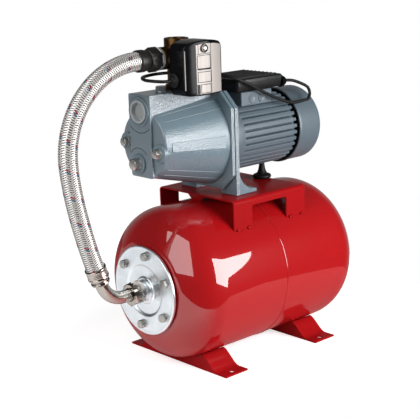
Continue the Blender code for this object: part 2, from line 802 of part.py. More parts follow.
def head_points(radius, depth, last, steps):
    """Points of a dished tank end as (depth, radius), from the straight wall to the angle called last."""
    angles = [last * i / steps for i in range(1, steps + 1)]
    return [(depth * sin(a) ** (2 / HEAD_POWER), radius * cos(a) ** (2 / HEAD_POWER)) for a in angles]


def angle_at_depth(depth, of_depth):
    return asin((depth / of_depth) ** (HEAD_POWER / 2))


def angle_at_radius(radius, of_radius):
    return acos((radius / of_radius) ** (HEAD_POWER / 2))


def flange_bolt_places():
    angles = [BOLT_TURN + 2 * pi * i / FLANGE_BOLTS for i in range(FLANGE_BOLTS)]
    return [(BOLT_CIRCLE * sin(a), TANK_Z + BOLT_CIRCLE * cos(a)) for a in angles]


def build_tank():
    half = TANK_STRAIGHT / 2
    hole = VALVE_RADIUS + SEAT
    radius, depth = TANK_RADIUS - TANK_WALL, HEAD_DEPTH - TANK_WALL
    front = head_points(TANK_RADIUS, HEAD_DEPTH, angle_at_depth(NECK_DEPTH, HEAD_DEPTH), 4)
    back = head_points(TANK_RADIUS, HEAD_DEPTH, angle_at_radius(hole, TANK_RADIUS), 5)
    front_inside = head_points(radius, depth, angle_at_depth(NECK_DEPTH - TANK_WALL, depth), 2)
    back_inside = head_points(radius, depth, angle_at_radius(hole, radius), 3)
    seam = [(-SEAM_WIDTH / 2, TANK_RADIUS), (-SEAM_WIDTH / 4, TANK_RADIUS + SEAM_HEIGHT),
            (SEAM_WIDTH / 4, TANK_RADIUS + SEAM_HEIGHT), (SEAM_WIDTH / 2, TANK_RADIUS)]
    outside = [(NECK_X, NECK_RADIUS)] + [(-half - d, r) for d, r in front[::-1]]
    outside += [(-half, TANK_RADIUS)] + seam + [(half, TANK_RADIUS)] + [(half + d, r) for d, r in back]
    inside = [(half + d, r) for d, r in back_inside[::-1]] + [(half, radius), (-half, radius)]
    inside += [(-half - d, r) for d, r in front_inside] + [(NECK_X + TANK_WALL, NECK_RADIUS)]
    shell = lathe("tank_shell", outside + inside, (0, 0, TANK_Z), steps=TANK_STEPS)
    cut(shell, *[rod(f"tank bolt hole {i}", (NECK_X - PAST, y, z), (NECK_X + TANK_WALL + PAST, y, z),
                     BOLT_HOLE, sides=FIXING)
                 for i, (y, z) in enumerate(flange_bolt_places(), 1)])
    make_part(shell, "red enamel")


def build_membrane():
    rim_back = NECK_X - SEAT
    rim_front = rim_back - MEMBRANE_RIM
    lip, neck, wall = NECK_RADIUS + MEMBRANE_LIP, NECK_RADIUS - RUNNING, MEMBRANE_WALL
    shoulder = rim_back + MEMBRANE_NECK
    side = shoulder + MEMBRANE_SWELL
    dome = rim_back + MEMBRANE_LENGTH - MEMBRANE_DOME
    angles = [pi / 2 * i / 3 for i in range(4)]
    skin = [(dome + MEMBRANE_DOME * sin(a), MEMBRANE_RADIUS * cos(a)) for a in angles[:-1]]
    lining = [(dome + (MEMBRANE_DOME - wall) * sin(a), (MEMBRANE_RADIUS - wall) * cos(a))
              for a in angles[:-1]]
    outside = [(rim_front, lip), (rim_back, lip), (rim_back, neck), (shoulder, neck),
               (side, MEMBRANE_RADIUS)]
    inside = [(side, MEMBRANE_RADIUS - wall), (shoulder, neck - wall), (rim_front, neck - wall)]
    profile = [(dome + MEMBRANE_DOME, 0)] + skin[::-1] + outside[::-1] + inside[::-1] + lining
    profile.append((dome + MEMBRANE_DOME - wall, 0))
    make_part(lathe("tank_membrane", profile, (0, 0, TANK_Z), steps=HIDDEN), "black rubber")


def build_flange():
    dish = FLANGE_BACK
    wall = FLANGE_PLATE
    rise = DISH_RISE
    profile = [
        (NIPPLE_END, NIPPLE_BORE), (NIPPLE_END, NIPPLE_RADIUS), (dish, NIPPLE_RADIUS), (dish, DISH_RADIUS),
        (FLANGE_FRONT, DISH_RADIUS + rise), (FLANGE_FRONT, FLANGE_RADIUS - 2 * FLANGE_LIP),
        (FLANGE_FRONT - FLANGE_LIP, FLANGE_RADIUS - FLANGE_LIP), (FLANGE_FRONT, FLANGE_RADIUS),
        (FLANGE_BACK, FLANGE_RADIUS), (FLANGE_BACK, DISH_RADIUS + rise), (dish + wall, DISH_RADIUS),
        (dish + wall, NIPPLE_BORE),
    ]
    flange = lathe("tank_flange", profile, (0, 0, TANK_Z), steps=FINE)
    for i, (y, z) in enumerate(flange_bolt_places(), 1):
        cut(flange, rod(f"flange bolt hole {i}", (FLANGE_FRONT - PAST, y, z), (FLANGE_BACK + PAST, y, z),
                        BOLT_HOLE, sides=FIXING))
        bolt(f"flange_bolt_{i}", (FLANGE_FRONT - SEAT, y, z), (1, 0, 0),
             NECK_X - FLANGE_FRONT + FLANGE_BOLT_TAIL)
    make_part(flange, "zinc plate")


def build_air_valve():
    seat = TANK_END + SEAT
    collar = seat + VALVE_COLLAR_WIDTH
    end = TANK_END + VALVE_REACH
    tip = end - VALVE_CAP_END
    valve = lathe("air_valve", [
        (seat - VALVE_DEPTH, 0), (seat - VALVE_DEPTH, VALVE_RADIUS), (seat, VALVE_RADIUS),
        (seat, VALVE_COLLAR), (collar, VALVE_COLLAR), (collar, VALVE_STEM), (tip, VALVE_STEM), (tip, 0)],
        (0, 0, TANK_Z), steps=SMALL)
    make_part(valve, "brass")
    start, bore = collar + SEAT, VALVE_STEM + SEAT
    cap = lathe("air_valve_cap", [
        (tip + SEAT, 0), (tip + SEAT, bore), (start, bore), (start, VALVE_CAP_RADIUS),
        (end - VALVE_CAP_CHAMFER, VALVE_CAP_RADIUS), (end, VALVE_CAP_RADIUS - VALVE_CAP_CHAMFER), (end, 0)],
        (0, 0, TANK_Z), steps=SMALL)
    make_part(cap, "black plastic")


def saddle_height(y):
    return TANK_Z - sqrt((TANK_RADIUS + SEAT) ** 2 - y ** 2)


def foot_top(y):
    """Height of a foot's top sheet: a flat toe, an S-shaped rise and a saddle under the tank."""
    reach, toe = abs(y), FOOT_REACH - TOE_LENGTH
    if reach <= SADDLE_HALF:
        return saddle_height(y)
    share = min(1, (toe - reach) / (toe - SADDLE_HALF))
    if share <= 0:
        return TOE_HEIGHT
    return TOE_HEIGHT + (saddle_height(SADDLE_HALF) - TOE_HEIGHT) * share * share * (3 - 2 * share)


def build_foot(name, middle):
    toe = FOOT_REACH - TOE_LENGTH
    rise = [toe - (toe - SADDLE_HALF) * i / 5 for i in range(6)]
    saddle = [SADDLE_HALF * (1 - i / 6) for i in range(1, 7)]
    half = rise + saddle
    across = [-y for y in half] + half[-2::-1]
    top = [(y, foot_top(y)) for y in across]
    outline = [(-FOOT_REACH, 0), (FOOT_REACH, 0), (FOOT_REACH, TOE_HEIGHT)] + top[::-1]
    outline.append((-FOOT_REACH, TOE_HEIGHT))
    low, high = middle - FOOT_WIDTH / 2, middle + FOOT_WIDTH / 2
    foot = plate(name, outline, low, high)
    under = [(y, z - FOOT_SHEET) for y, z in top]
    hollow = [(-toe, -PAST), (toe, -PAST)] + under[::-1]
    cut(foot, plate(f"{name} hollow", hollow, low + FOOT_SHEET, high - FOOT_SHEET))
    for side in (-1, 1):
        y = side * (FOOT_REACH - TOE_HOLE_INSET)
        cut(foot, rod(f"{name} hole {side}", (middle, y, -PAST), (middle, y, TOE_HEIGHT + PAST),
                      TOE_HOLE, sides=SMALL))
    make_part(foot, "red enamel")


def foot_bolt_x():
    return LANTERN_FRONT + FOOT_BOLT_SETBACK


def build_bracket():
    top, half, sheet, bend = DECK_Z, BRACKET_HALF_DEPTH, BRACKET_SHEET, BRACKET_BEND
    outside = [(half, TANK_Z)] + arc((half - bend, top - bend), bend, 0, pi / 2, 4)
    outside += arc((bend - half, top - bend), bend, pi / 2, pi, 4) + [(-half, TANK_Z)]
    inside = [(sheet - half, TANK_Z)] + arc((bend - half, top - bend), bend - sheet, pi, pi / 2, 4)
    inside += arc((half - bend, top - bend), bend - sheet, pi / 2, 0, 4) + [(half - sheet, TANK_Z)]
    bracket = plate("pump_bracket", outside + inside, BRACKET_LOW_X, BRACKET_HIGH_X)
    tab = [(-TAB_HALF_TOP, top - sheet / 2), (-TAB_HALF_FOOT, TANK_TOP - PAST),
           (TAB_HALF_FOOT, TANK_TOP - PAST), (TAB_HALF_TOP, top - sheet / 2)]
    low, high = BRACKET_LOW_X + TAB_INSET, BRACKET_HIGH_X - TAB_INSET
    join(bracket, plate("bracket tab hose end", tab, low, low + sheet),
         plate("bracket tab motor end", tab, high - sheet, high))
    cut(bracket, box("bracket windows", (WINDOW_LOW_X, -half - PAST, TANK_Z - PAST),
                     (WINDOW_HIGH_X, half + PAST, top - WINDOW_STRIP)),
        lathe("bracket on tank", [
            (BRACKET_LOW_X - PAST, 0), (BRACKET_LOW_X - PAST, TANK_RADIUS + SEAT),
            (BRACKET_HIGH_X + PAST, TANK_RADIUS + SEAT), (BRACKET_HIGH_X + PAST, 0)],
            (0, 0, TANK_Z), steps=TANK_STEPS))
    for side in (-1, 1):
        y = side * FOOT_BOLT_Y
        cut(bracket, rod(f"bracket bolt hole {side}", (foot_bolt_x(), y, top - sheet - PAST),
                         (foot_bolt_x(), y, top + PAST), BOLT_HOLE, sides=FIXING))
    make_part(bracket, "red enamel")


def casing_bolt_places():
    return [(sy * CASING_BOLT_Y, SHAFT_Z + sz * CASING_BOLT_Z) for sy in (-1, 1) for sz in (-1, 1)]


def cavity_radius(x):
    share = (x - CAVITY_FRONT) / (MATING_X - CAVITY_FRONT)
    return CAVITY_FRONT_RADIUS + (CAVITY_REAR_RADIUS - CAVITY_FRONT_RADIUS) * share


def casing_body():
    """A cone that starts as a circle at the front and ends as an upright oval at the flange."""
    back = MATING_X - CASING_FLANGE / 2
    body = rod("pump_casing", (CASING_FRONT, 0, 0), (back, 0, 0), 1, 1, sides=FINE)
    for vertex in body.data.vertices:
        front = vertex.co.x < (CASING_FRONT + back) / 2
        vertex.co.y *= CASING_FRONT_RADIUS if front else CASING_REAR_HALF_WIDTH
        vertex.co.z *= CASING_FRONT_RADIUS if front else CASING_REAR_HALF_HEIGHT
        vertex.co.z += SHAFT_Z + (CASING_FRONT_LIFT if front else 0)
    return soften(body, CASING_ROUNDING)


def joint_outline(half_width, foot):
    """The flange between casing and motor bracket: chamfered above, and down to foot below."""
    top, chamfer = SHAFT_Z + JOINT_HALF_HEIGHT, JOINT_CHAMFER
    upper = [(half_width, top - chamfer), (half_width - chamfer, top),
             (chamfer - half_width, top), (-half_width, top - chamfer)]
    if foot is None:
        low = SHAFT_Z - JOINT_HALF_HEIGHT
        lower = [(-half_width, low + chamfer), (chamfer - half_width, low),
                 (half_width - chamfer, low), (half_width, low + chamfer)]
    else:
        lower = [(-half_width, foot), (half_width, foot)]
    return upper + lower


def side_plug_place(side, x):
    height = FAR_PLUG_HEIGHT if side > 0 else NEAR_PLUG_HEIGHT
    return (x, side * SIDE_PLUG_OFFSET, SHAFT_Z + height)


def drain_place(x):
    return (x, DRAIN_OFFSET, SHAFT_Z + DRAIN_HEIGHT)


def outlet_place(z):
    return (OUTLET_X, 0, z)


def port_place(x):
    return (x, SLAB_OFFSET, SHAFT_Z + PORT_HEIGHT)


def build_casing():
    casing = casing_body()
    flange = MATING_X - CASING_FLANGE
    deep = CASING_FRONT + CASING_WALL / 2
    near, far = SLAB_OFFSET - SLAB_HALF_WIDTH, SLAB_OFFSET + SLAB_HALF_WIDTH
    slab = rounded_rectangle((near, SHAFT_Z - SLAB_FOOT), (far, CASING_TOP), SLAB_ROUNDING)
    block_front, block_top = SLAB_FACE + CLEARANCE, CASING_TOP - FLUSH
    block = [(block_front, SHAFT_Z), (MATING_X - CASING_FLANGE / 2, SHAFT_Z),
             (flange, CASING_TOP - BLOCK_SLOPE / 2), (flange - BLOCK_SLOPE, block_top),
             (block_front, block_top)]
    join(
        casing,
        plate("casing flange", joint_outline(JOINT_HALF_WIDTH, None), flange, MATING_X),
        plate("casing slab", slab, SLAB_FACE, deep),
        plate("casing block", block, near + FLUSH, far - FLUSH, "XZ"),
        rod("suction boss", port_place(PORT_FACE), port_place(deep), PORT_BOSS),
        rod("drain boss", drain_place(SLAB_FACE - DRAIN_RAISE), drain_place(deep), DRAIN_BOSS),
        rod("outlet boss", outlet_place(CASING_TOP - OUTLET_BOSS_DEPTH), outlet_place(CASING_TOP + SEAT),
            OUTLET_BOSS),
        *[rod(f"side plug boss {side}", side_plug_place(side, CASING_FRONT - SIDE_PLUG_RAISE),
              side_plug_place(side, deep), SIDE_PLUG_BOSS) for side in (-1, 1)],
    )
    outside = PORT_FACE - PAST
    port_back = PORT_FACE + PORT_STEP_DEPTH + PORT_DEPTH
    turn_x = port_back - WATERWAY_RADIUS - PAST
    groove = oring_x() - ORING_WIRE - SEAT
    groove_inner, groove_outer = ORING_RADIUS - ORING_WIRE - SEAT, ORING_RADIUS + ORING_WIRE + SEAT
    cut(
        casing,
        lathe("casing cavity", [(CAVITY_FRONT, 0), (CAVITY_FRONT, CAVITY_FRONT_RADIUS),
                                (MATING_X, CAVITY_REAR_RADIUS), (MATING_X + PAST, CAVITY_REAR_RADIUS),
                                (MATING_X + PAST, 0)], on_shaft(0), steps=BORED),
        rod("suction step", port_place(outside), port_place(PORT_FACE + PORT_STEP_DEPTH), PORT_STEP_RADIUS),
        rod("suction bore", port_place(outside), port_place(port_back), PORT_BORE),
        rod("suction drop", port_place(turn_x), (turn_x, SLAB_OFFSET, SHAFT_Z + NOZZLE_FLANGE),
            WATERWAY_RADIUS, sides=FIXING),
        rod("outlet bore", outlet_place(CASING_TOP + PAST), outlet_place(CASING_TOP - FITTING_GRIP - PAST),
            FITTING_THREAD + RUNNING),
        rod("outlet way", outlet_place(CASING_TOP), outlet_place(SHAFT_Z + OUTLET_WAY_END), WATERWAY_RADIUS,
            sides=FIXING),
        rod("priming bore", (PRIMING_X, 0, CASING_TOP + PAST), (PRIMING_X, 0, SHAFT_Z + PRIMING_WAY_END),
            PRIMING_THREAD + SEAT, sides=SMALL),
        rod("drain bore", drain_place(SLAB_FACE - DRAIN_RAISE - PAST), drain_place(CAVITY_FRONT + PAST),
            DRAIN_THREAD + SEAT, sides=SMALL),
        lathe("seal ring groove", [(MATING_X + PAST, groove_inner), (MATING_X + PAST, groove_outer),
                                   (groove, groove_outer), (groove, groove_inner)], on_shaft(0), steps=BORED),
        *[rod(f"side plug bore {side}", side_plug_place(side, CASING_FRONT - SIDE_PLUG_RAISE - PAST),
              side_plug_place(side, CASING_FRONT + PLUG_GRIP), SIDE_PLUG_THREAD + SEAT, sides=SMALL)
          for side in (-1, 1)],
        *[rod(f"casing bolt hole {i}", (MATING_X + PAST, y, z),
              (MATING_X - CASING_BOLT_GRIP - CLEARANCE, y, z), BOLT_HOLE, sides=FIXING)
          for i, (y, z) in enumerate(casing_bolt_places(), 1)],
    )
    make_part(casing, "hammered grey paint")


def oring_x():
    return LANTERN_FRONT - SEAT - ORING_WIRE


def plug(name, face, direction, flats, height, thread, grip):
    """A screw plug with a washer collar: face is the boss it sits on, direction points out of the boss."""
    face, out = Vector(face), Vector(direction)
    base = face + out * SEAT
    piece = rod(name, base, base + out * PLUG_WASHER, flats / 2 + PLUG_WASHER_RIM)
    head = hex_bar(f"{name} head", base + out * (PLUG_WASHER - OVERLAP), base + out * (PLUG_WASHER + height),
                   flats)
    shank = rod(f"{name} shank", base + out * OVERLAP, face - out * grip, thread, sides=SMALL)
    return make_part(join(piece, head, shank), "nickel")


def build_plugs():
    ring_back = PORT_STEP_DEPTH - SEAT
    end, floor, shank = ring_back + CAP_DEPTH, CAP_DEPTH - CAP_FLOOR, PORT_BORE - RUNNING
    cap = lathe("suction_plug", [
        (end, 0), (end, shank), (ring_back, shank), (ring_back, CAP_RING), (-CAP_PROUD, CAP_RING),
        (-CAP_PROUD, CAP_HOLLOW), (floor, CAP_HOLLOW), (floor, 0)], port_place(PORT_FACE))
    make_part(cap, "grey plastic")
    for name, side in (("left_plug", 1), ("right_plug", -1)):
        plug(name, side_plug_place(side, CASING_FRONT - SIDE_PLUG_RAISE), (-1, 0, 0),
             SIDE_PLUG_FLATS, SIDE_PLUG_HEX, SIDE_PLUG_THREAD, PLUG_GRIP)
    plug("drain_plug", drain_place(SLAB_FACE - DRAIN_RAISE), (-1, 0, 0),
         DRAIN_FLATS, DRAIN_HEX, DRAIN_THREAD, PLUG_GRIP)
    plug("priming_plug", (PRIMING_X, 0, CASING_TOP), (0, 0, 1),
         PRIMING_FLATS, PRIMING_HEX, PRIMING_THREAD, PLUG_GRIP)


def build_water_end():
    disc_back = IMPELLER_BACK - IMPELLER_BOSS
    disc_front = disc_back - SHROUD
    vane_front = disc_front - VANE_DEPTH
    bore = SHAFT_TIP_RADIUS + SEAT
    impeller = lathe("impeller", [
        (IMPELLER_BACK, bore), (IMPELLER_BACK, IMPELLER_HUB), (disc_back, IMPELLER_HUB),
        (disc_back, IMPELLER_RADIUS), (disc_front, IMPELLER_RADIUS), (disc_front, IMPELLER_HUB),
        (IMPELLER_FRONT, IMPELLER_HUB), (IMPELLER_FRONT, bore)], on_shaft(0), steps=HIDDEN)
    vanes = vane_outline(IMPELLER_VANES, IMPELLER_HUB + OVERLAP, IMPELLER_RADIUS - OVERLAP, SHROUD,
                         IMPELLER_SWEEP, 2)
    blades = plate("impeller vanes", raised(vanes, SHAFT_Z), vane_front - OVERLAP, disc_front + OVERLAP)
    hub_hole = rod("vane bore", on_shaft(vane_front - PAST), on_shaft(disc_front + PAST),
                   IMPELLER_HUB - OVERLAP)
    shroud = lathe("impeller shroud", [
        (vane_front, IMPELLER_EYE), (vane_front, IMPELLER_RADIUS), (vane_front - SHROUD, IMPELLER_RADIUS),
        (vane_front - SHROUD, IMPELLER_EYE)], on_shaft(0), steps=ROUND)
    make_part(join(impeller, cut(blades, hub_hole), shroud), "brass")

    cup_front = IMPELLER_FRONT + CUP_OVERLAP
    cup_back = IMPELLER_BACK - CUP_SETBACK
    disc = cup_front - CUP_FLOOR
    throat = CAVITY_FRONT + VENTURI_THROAT_REACH
    mouth = CAVITY_FRONT + NOZZLE_LENGTH
    rim = cavity_radius(disc) - RUNNING
    diffuser = lathe("diffuser", [
        (cup_back, DIFFUSER_CUP), (cup_back, rim), (disc, rim),
        (disc, IMPELLER_EYE + VENTURI_WALL), (throat, VENTURI_THROAT + VENTURI_WALL),
        (mouth, VENTURI_MOUTH + VENTURI_WALL), (mouth, VENTURI_MOUTH), (throat, VENTURI_THROAT),
        (disc, IMPELLER_EYE), (cup_front, IMPELLER_EYE), (cup_front, DIFFUSER_CUP)], on_shaft(0), steps=BORED)
    make_part(diffuser, "white plastic")
    base = CAVITY_FRONT + SEAT
    collar, tip = base + NOZZLE_FLANGE_WIDTH, mouth + PAST
    nozzle = lathe("ejector_nozzle", [
        (base, NOZZLE_BORE * 2), (base, NOZZLE_FLANGE), (collar, NOZZLE_FLANGE),
        (collar + CLEARANCE, NOZZLE_ROOT), (tip, NOZZLE_TIP), (tip, NOZZLE_BORE)],
        on_shaft(0), steps=HIDDEN)
    make_part(nozzle, "brass")
    seat_back, seat_bore = LANTERN_FRONT + SEAL_SEAT_WIDTH, SHAFT_SEAL_RADIUS + CLEARANCE
    seat = lathe("seal_seat", [
        (LANTERN_FRONT, seat_bore), (LANTERN_FRONT, SEAL_SEAT_RADIUS),
        (seat_back, SEAL_SEAT_RADIUS), (seat_back, seat_bore)], on_shaft(0), steps=HIDDEN)
    make_part(seat, "white plastic")
    face, ring_bore = SEAL_BACK - SEAL_FACE_LENGTH, SHAFT_SEAL_RADIUS + SEAT
    ring = lathe("seal_ring", [
        (SEAL_BACK, ring_bore), (SEAL_BACK, SEAL_RADIUS - SEAL_STEP), (face, SEAL_RADIUS - SEAL_STEP),
        (face, SEAL_RADIUS), (SEAL_FRONT, SEAL_RADIUS), (SEAL_FRONT, ring_bore)], on_shaft(0), steps=HIDDEN)
    make_part(ring, "black rubber")
    wire = [(oring_x() + a, ORING_RADIUS + r) for a, r in arc((0, 0), ORING_WIRE, 0, 2 * pi, 5)[:-1]]
    make_part(lathe("casing_oring", wire, on_shaft(0), steps=BORED), "black rubber")


def gusset_outline(foot, foot_back):
    """A web that sweeps from the plate of the motor bracket down to its foot in a hollow curve."""
    low, start = foot + LANTERN_FOOT_HEIGHT, LANTERN_BACK - OVERLAP
    end = foot_back - GUSSET_SETBACK
    turns = [pi / 2 * i / GUSSET_STEPS for i in range(GUSSET_STEPS + 1)]
    rise = GUSSET_HEIGHT - LANTERN_FOOT_HEIGHT
    sweep = [(start + (end - start) * (1 - cos(t)), low + rise * (1 - sin(t))) for t in turns]
    return [(start, foot + CLEARANCE), (end, foot + CLEARANCE)] + sweep[::-1]


def build_lantern():
    foot = DECK_Z + SEAT
    top = foot + LANTERN_FOOT_HEIGHT
    foot_front, foot_back = LANTERN_FRONT + CLEARANCE, LANTERN_FRONT + LANTERN_FOOT_LENGTH
    lantern = plate("motor_bracket", joint_outline(LANTERN_HALF_WIDTH, foot + FLUSH), LANTERN_FRONT,
                    LANTERN_BACK)
    gusset = gusset_outline(foot, foot_back)
    outer, edge = LANTERN_HALF_WIDTH - 2 * FLUSH, LANTERN_HALF_WIDTH - FLUSH
    spigot_front, spigot_back = LANTERN_BACK - OVERLAP, LANTERN_BACK + SPIGOT_LENGTH
    spigot = HOUSING_BORE - SEAT
    join(
        lantern,
        box("lantern foot", (foot_front, -edge, foot), (foot_back, edge, top)),
        plate("lantern gusset near", gusset, -outer, GUSSET_WIDTH - outer, "XZ"),
        plate("lantern gusset far", gusset, outer - GUSSET_WIDTH, outer, "XZ"),
        rod("lantern hub", on_shaft(LANTERN_BACK - OVERLAP), on_shaft(HUB_BACK), HUB_RADIUS, sides=BORED),
        lathe("lantern spigot", [
            (spigot_front, spigot - SPIGOT_WALL), (spigot_front, spigot), (spigot_back, spigot),
            (spigot_back, spigot - SPIGOT_WALL)], on_shaft(0), steps=BORED),
    )
    cut(
        lantern,
        box("lantern arch", (LANTERN_FRONT - PAST, -LANTERN_ARCH_HALF, foot - PAST),
            (foot_back + PAST, LANTERN_ARCH_HALF, foot + LANTERN_ARCH_HEIGHT)),
        rod("shaft hole", on_shaft(LANTERN_FRONT - PAST), on_shaft(HUB_BACK + PAST),
            SHAFT_SEAL_RADIUS + SHAFT_HOLE_GAP),
        rod("seal pocket", on_shaft(LANTERN_FRONT - PAST), on_shaft(LANTERN_FRONT + SEAL_SEAT_WIDTH + SEAT),
            SEAL_SEAT_RADIUS + RUNNING, sides=BORED),
        rod("bearing pocket", on_shaft(FRONT_BEARING_X - SEAT), on_shaft(HUB_BACK + PAST),
            FRONT_BEARING_RADIUS + RUNNING, sides=BORED),
    )
    for i, (y, z) in enumerate(casing_bolt_places(), 1):
        cut(lantern, rod(f"lantern bolt hole {i}", (LANTERN_FRONT - PAST, y, z), (LANTERN_BACK + PAST, y, z),
                         BOLT_HOLE, sides=FIXING))
        bolt(f"casing_bolt_{i}", (LANTERN_BACK + SEAT, y, z), (-1, 0, 0), LANTERN_PLATE + CASING_BOLT_GRIP)
    for i, side in enumerate((-1, 1), 1):
        x, y = foot_bolt_x(), side * FOOT_BOLT_Y
        cut(lantern, rod(f"lantern foot hole {i}", (x, y, foot - PAST), (x, y, top + PAST),
                         BOLT_HOLE, sides=FIXING))
        bolt(f"bracket_bolt_{i}", (x, y, top + SEAT), (0, 0, -1),
             LANTERN_FOOT_HEIGHT + BRACKET_SHEET + FOOT_BOLT_TAIL)
    make_part(lantern, "motor grey paint")


def bearing(name, start, bore, radius, width):
    end = start + width
    profile = [(start, bore), (start, radius), (end, radius), (end, bore)]
    make_part(lathe(name, profile, on_shaft(0), steps=HIDDEN), "steel")


def build_rotor():
    low, high = ROTOR_MIDDLE - ROTOR_LENGTH / 2, ROTOR_MIDDLE + ROTOR_LENGTH / 2
    tip = IMPELLER_FRONT - SHAFT_TIP_REACH
    end = FAN_X + FAN_DEPTH + SHAFT_END_REACH
    shaft = lathe("motor_shaft", [
        (tip, 0), (tip, SHAFT_TIP_RADIUS), (IMPELLER_BACK + SEAT, SHAFT_TIP_RADIUS),
        (IMPELLER_BACK + SEAT, SHAFT_SEAL_RADIUS), (FRONT_BEARING_X - SEAT, SHAFT_SEAL_RADIUS),
        (FRONT_BEARING_X - SEAT, SHAFT_FRONT_RADIUS), (HUB_BACK, SHAFT_FRONT_RADIUS),
        (HUB_BACK, SHAFT_CORE_RADIUS), (REAR_BEARING_X - PAST, SHAFT_CORE_RADIUS),
        (REAR_BEARING_X - PAST, SHAFT_REAR_RADIUS), (FAN_X - SEAT, SHAFT_REAR_RADIUS),
        (FAN_X - SEAT, SHAFT_FAN_RADIUS), (end, SHAFT_FAN_RADIUS), (end, 0)], on_shaft(0), steps=HIDDEN)
    make_part(shaft, "steel")
    core = lathe("rotor_core", [
        (low, SHAFT_CORE_RADIUS + SEAT), (low, ROTOR_RADIUS), (high, ROTOR_RADIUS),
        (high, SHAFT_CORE_RADIUS + SEAT)], on_shaft(0), steps=BORED)
    make_part(core, "electrical steel")
    bearing("front_bearing", FRONT_BEARING_X, SHAFT_FRONT_RADIUS + RUNNING, FRONT_BEARING_RADIUS,
            FRONT_BEARING_WIDTH)
    bearing("rear_bearing", REAR_BEARING_X, SHAFT_REAR_RADIUS + RUNNING, REAR_BEARING_RADIUS,
            REAR_BEARING_WIDTH)
    outer, step = HOUSING_BORE - SEAT, WINDING_STEP
    stator = lathe("wound_stator", [
        (low - WINDING_LENGTH, STATOR_BORE + step), (low - WINDING_LENGTH, outer - step), (low, outer - step),
        (low, outer), (high, outer), (high, outer - step), (high + WINDING_LENGTH, outer - step),
        (high + WINDING_LENGTH, STATOR_BORE + step), (high, STATOR_BORE + step), (high, STATOR_BORE),
        (low, STATOR_BORE), (low, STATOR_BORE + step)], on_shaft(0), steps=BORED)
    make_part(stator, "copper winding")


def build_housing():
    fins = vane_outline(FIN_COUNT, FIN_ROOT, FIN_TIP, FIN_WIDTH)
    collar_end = HOUSING_FRONT + COLLAR_LENGTH
    housing = plate("motor_housing", raised(fins, SHAFT_Z), collar_end - OVERLAP, HOUSING_BACK)
    pad_low, pad_high = SHAFT_Z + PAD_FOOT, SHAFT_Z + PAD_TOP
    pad = soften(box("terminal pad", (PAD_LOW_X, -PAD_HALF_WIDTH, pad_low),
                     (PAD_HIGH_X, PAD_HALF_WIDTH, pad_high)), PAD_ROUNDING)
    middle = (PAD_LOW_X + PAD_HIGH_X) / 2
    discs = []
    for side in (-1, 1):
        for step in (-0.5, 0.5):
            x, z = middle + step * KNOCKOUT_SPACING, pad_high - KNOCKOUT_DROP
            discs.append(rod(f"knockout {side} {step}", (x, side * (PAD_HALF_WIDTH - PAST), z),
                             (x, side * (PAD_HALF_WIDTH + KNOCKOUT_RISE), z), KNOCKOUT_RADIUS, sides=SMALL))
    collar = rod("housing collar", on_shaft(HOUSING_FRONT), on_shaft(collar_end), HOUSING_COLLAR, sides=FINE)
    join(housing, collar, pad, *discs)
    cut(housing, rod("housing bore", on_shaft(HOUSING_FRONT - PAST), on_shaft(HOUSING_BACK + PAST),
                     HOUSING_BORE + SEAT, sides=FINE))
    make_part(housing, "motor grey paint")


def build_fan_end():
    spigot = HOUSING_BORE - SEAT
    rim = COVER_RADIUS - COVER_WALL - RUNNING - SEAT
    pocket = REAR_BEARING_RADIUS + RUNNING
    plate_back = REAR_BEARING_X + PAST
    pocket_end = REAR_BEARING_X + REAR_BEARING_WIDTH + SEAT
    rim_front = COVER_FRONT + CLEARANCE
    rim_back = rim_front + SHIELD_RIM_WIDTH
    shaft_hole = SHAFT_CORE_RADIUS + CLEARANCE
    spigot_front, inner_face = SHIELD_FRONT - SHIELD_SPIGOT, SHIELD_FRONT + CLEARANCE
    shield = lathe("rear_end_shield", [
        (spigot_front, spigot - SPIGOT_WALL), (spigot_front, spigot), (SHIELD_FRONT, spigot),
        (SHIELD_FRONT, SHIELD_RADIUS), (rim_front, SHIELD_RADIUS), (rim_front, rim), (rim_back, rim),
        (plate_back, SHIELD_RADIUS - SHIELD_RIM_WIDTH), (plate_back, pocket + SPIGOT_WALL),
        (pocket_end, pocket + SPIGOT_WALL), (pocket_end, pocket), (REAR_BEARING_X - SEAT, pocket),
        (REAR_BEARING_X - SEAT, shaft_hole), (inner_face, shaft_hole),
        (inner_face, spigot - SPIGOT_WALL)], on_shaft(0), steps=BORED)
    make_part(shield, "black plastic")

    bore, fan_back = SHAFT_FAN_RADIUS + SEAT, FAN_X + FAN_DEPTH
    fan = lathe("cooling_fan", [
        (FAN_X, bore), (FAN_X, FAN_DISC), (FAN_X + FAN_SHEET, FAN_DISC), (FAN_X + FAN_SHEET, FAN_HUB),
        (fan_back, FAN_HUB), (fan_back, bore)], on_shaft(0), steps=SMALL)
    star = vane_outline(FAN_BLADES, FAN_HUB - OVERLAP, FAN_RADIUS, FAN_BLADE_WIDTH)
    blades = plate("fan blades", raised(star, SHAFT_Z), FAN_X + CLEARANCE, fan_back - CLEARANCE)
    hole = rod("blade bore", on_shaft(FAN_X - PAST), on_shaft(fan_back + PAST), FAN_HUB - PAST)
    make_part(join(fan, cut(blades, hole)), "black plastic")

    wall, corner = COVER_WALL, COVER_ROUNDING
    knee = (COVER_BACK - corner, COVER_RADIUS - corner)
    outside = [(COVER_FRONT, COVER_RADIUS)] + arc(knee, corner, pi / 2, 0, 3) + [(COVER_BACK, 0)]
    inside = [(COVER_BACK - wall, 0)] + arc(knee, corner - wall, 0, pi / 2, 2)
    inside.append((COVER_FRONT, COVER_RADIUS - wall))
    cover = lathe("fan_cover", outside[::-1] + inside[::-1], on_shaft(0), steps=FINE)
    make_part(cut(cover, cover_slots()), "motor grey paint")


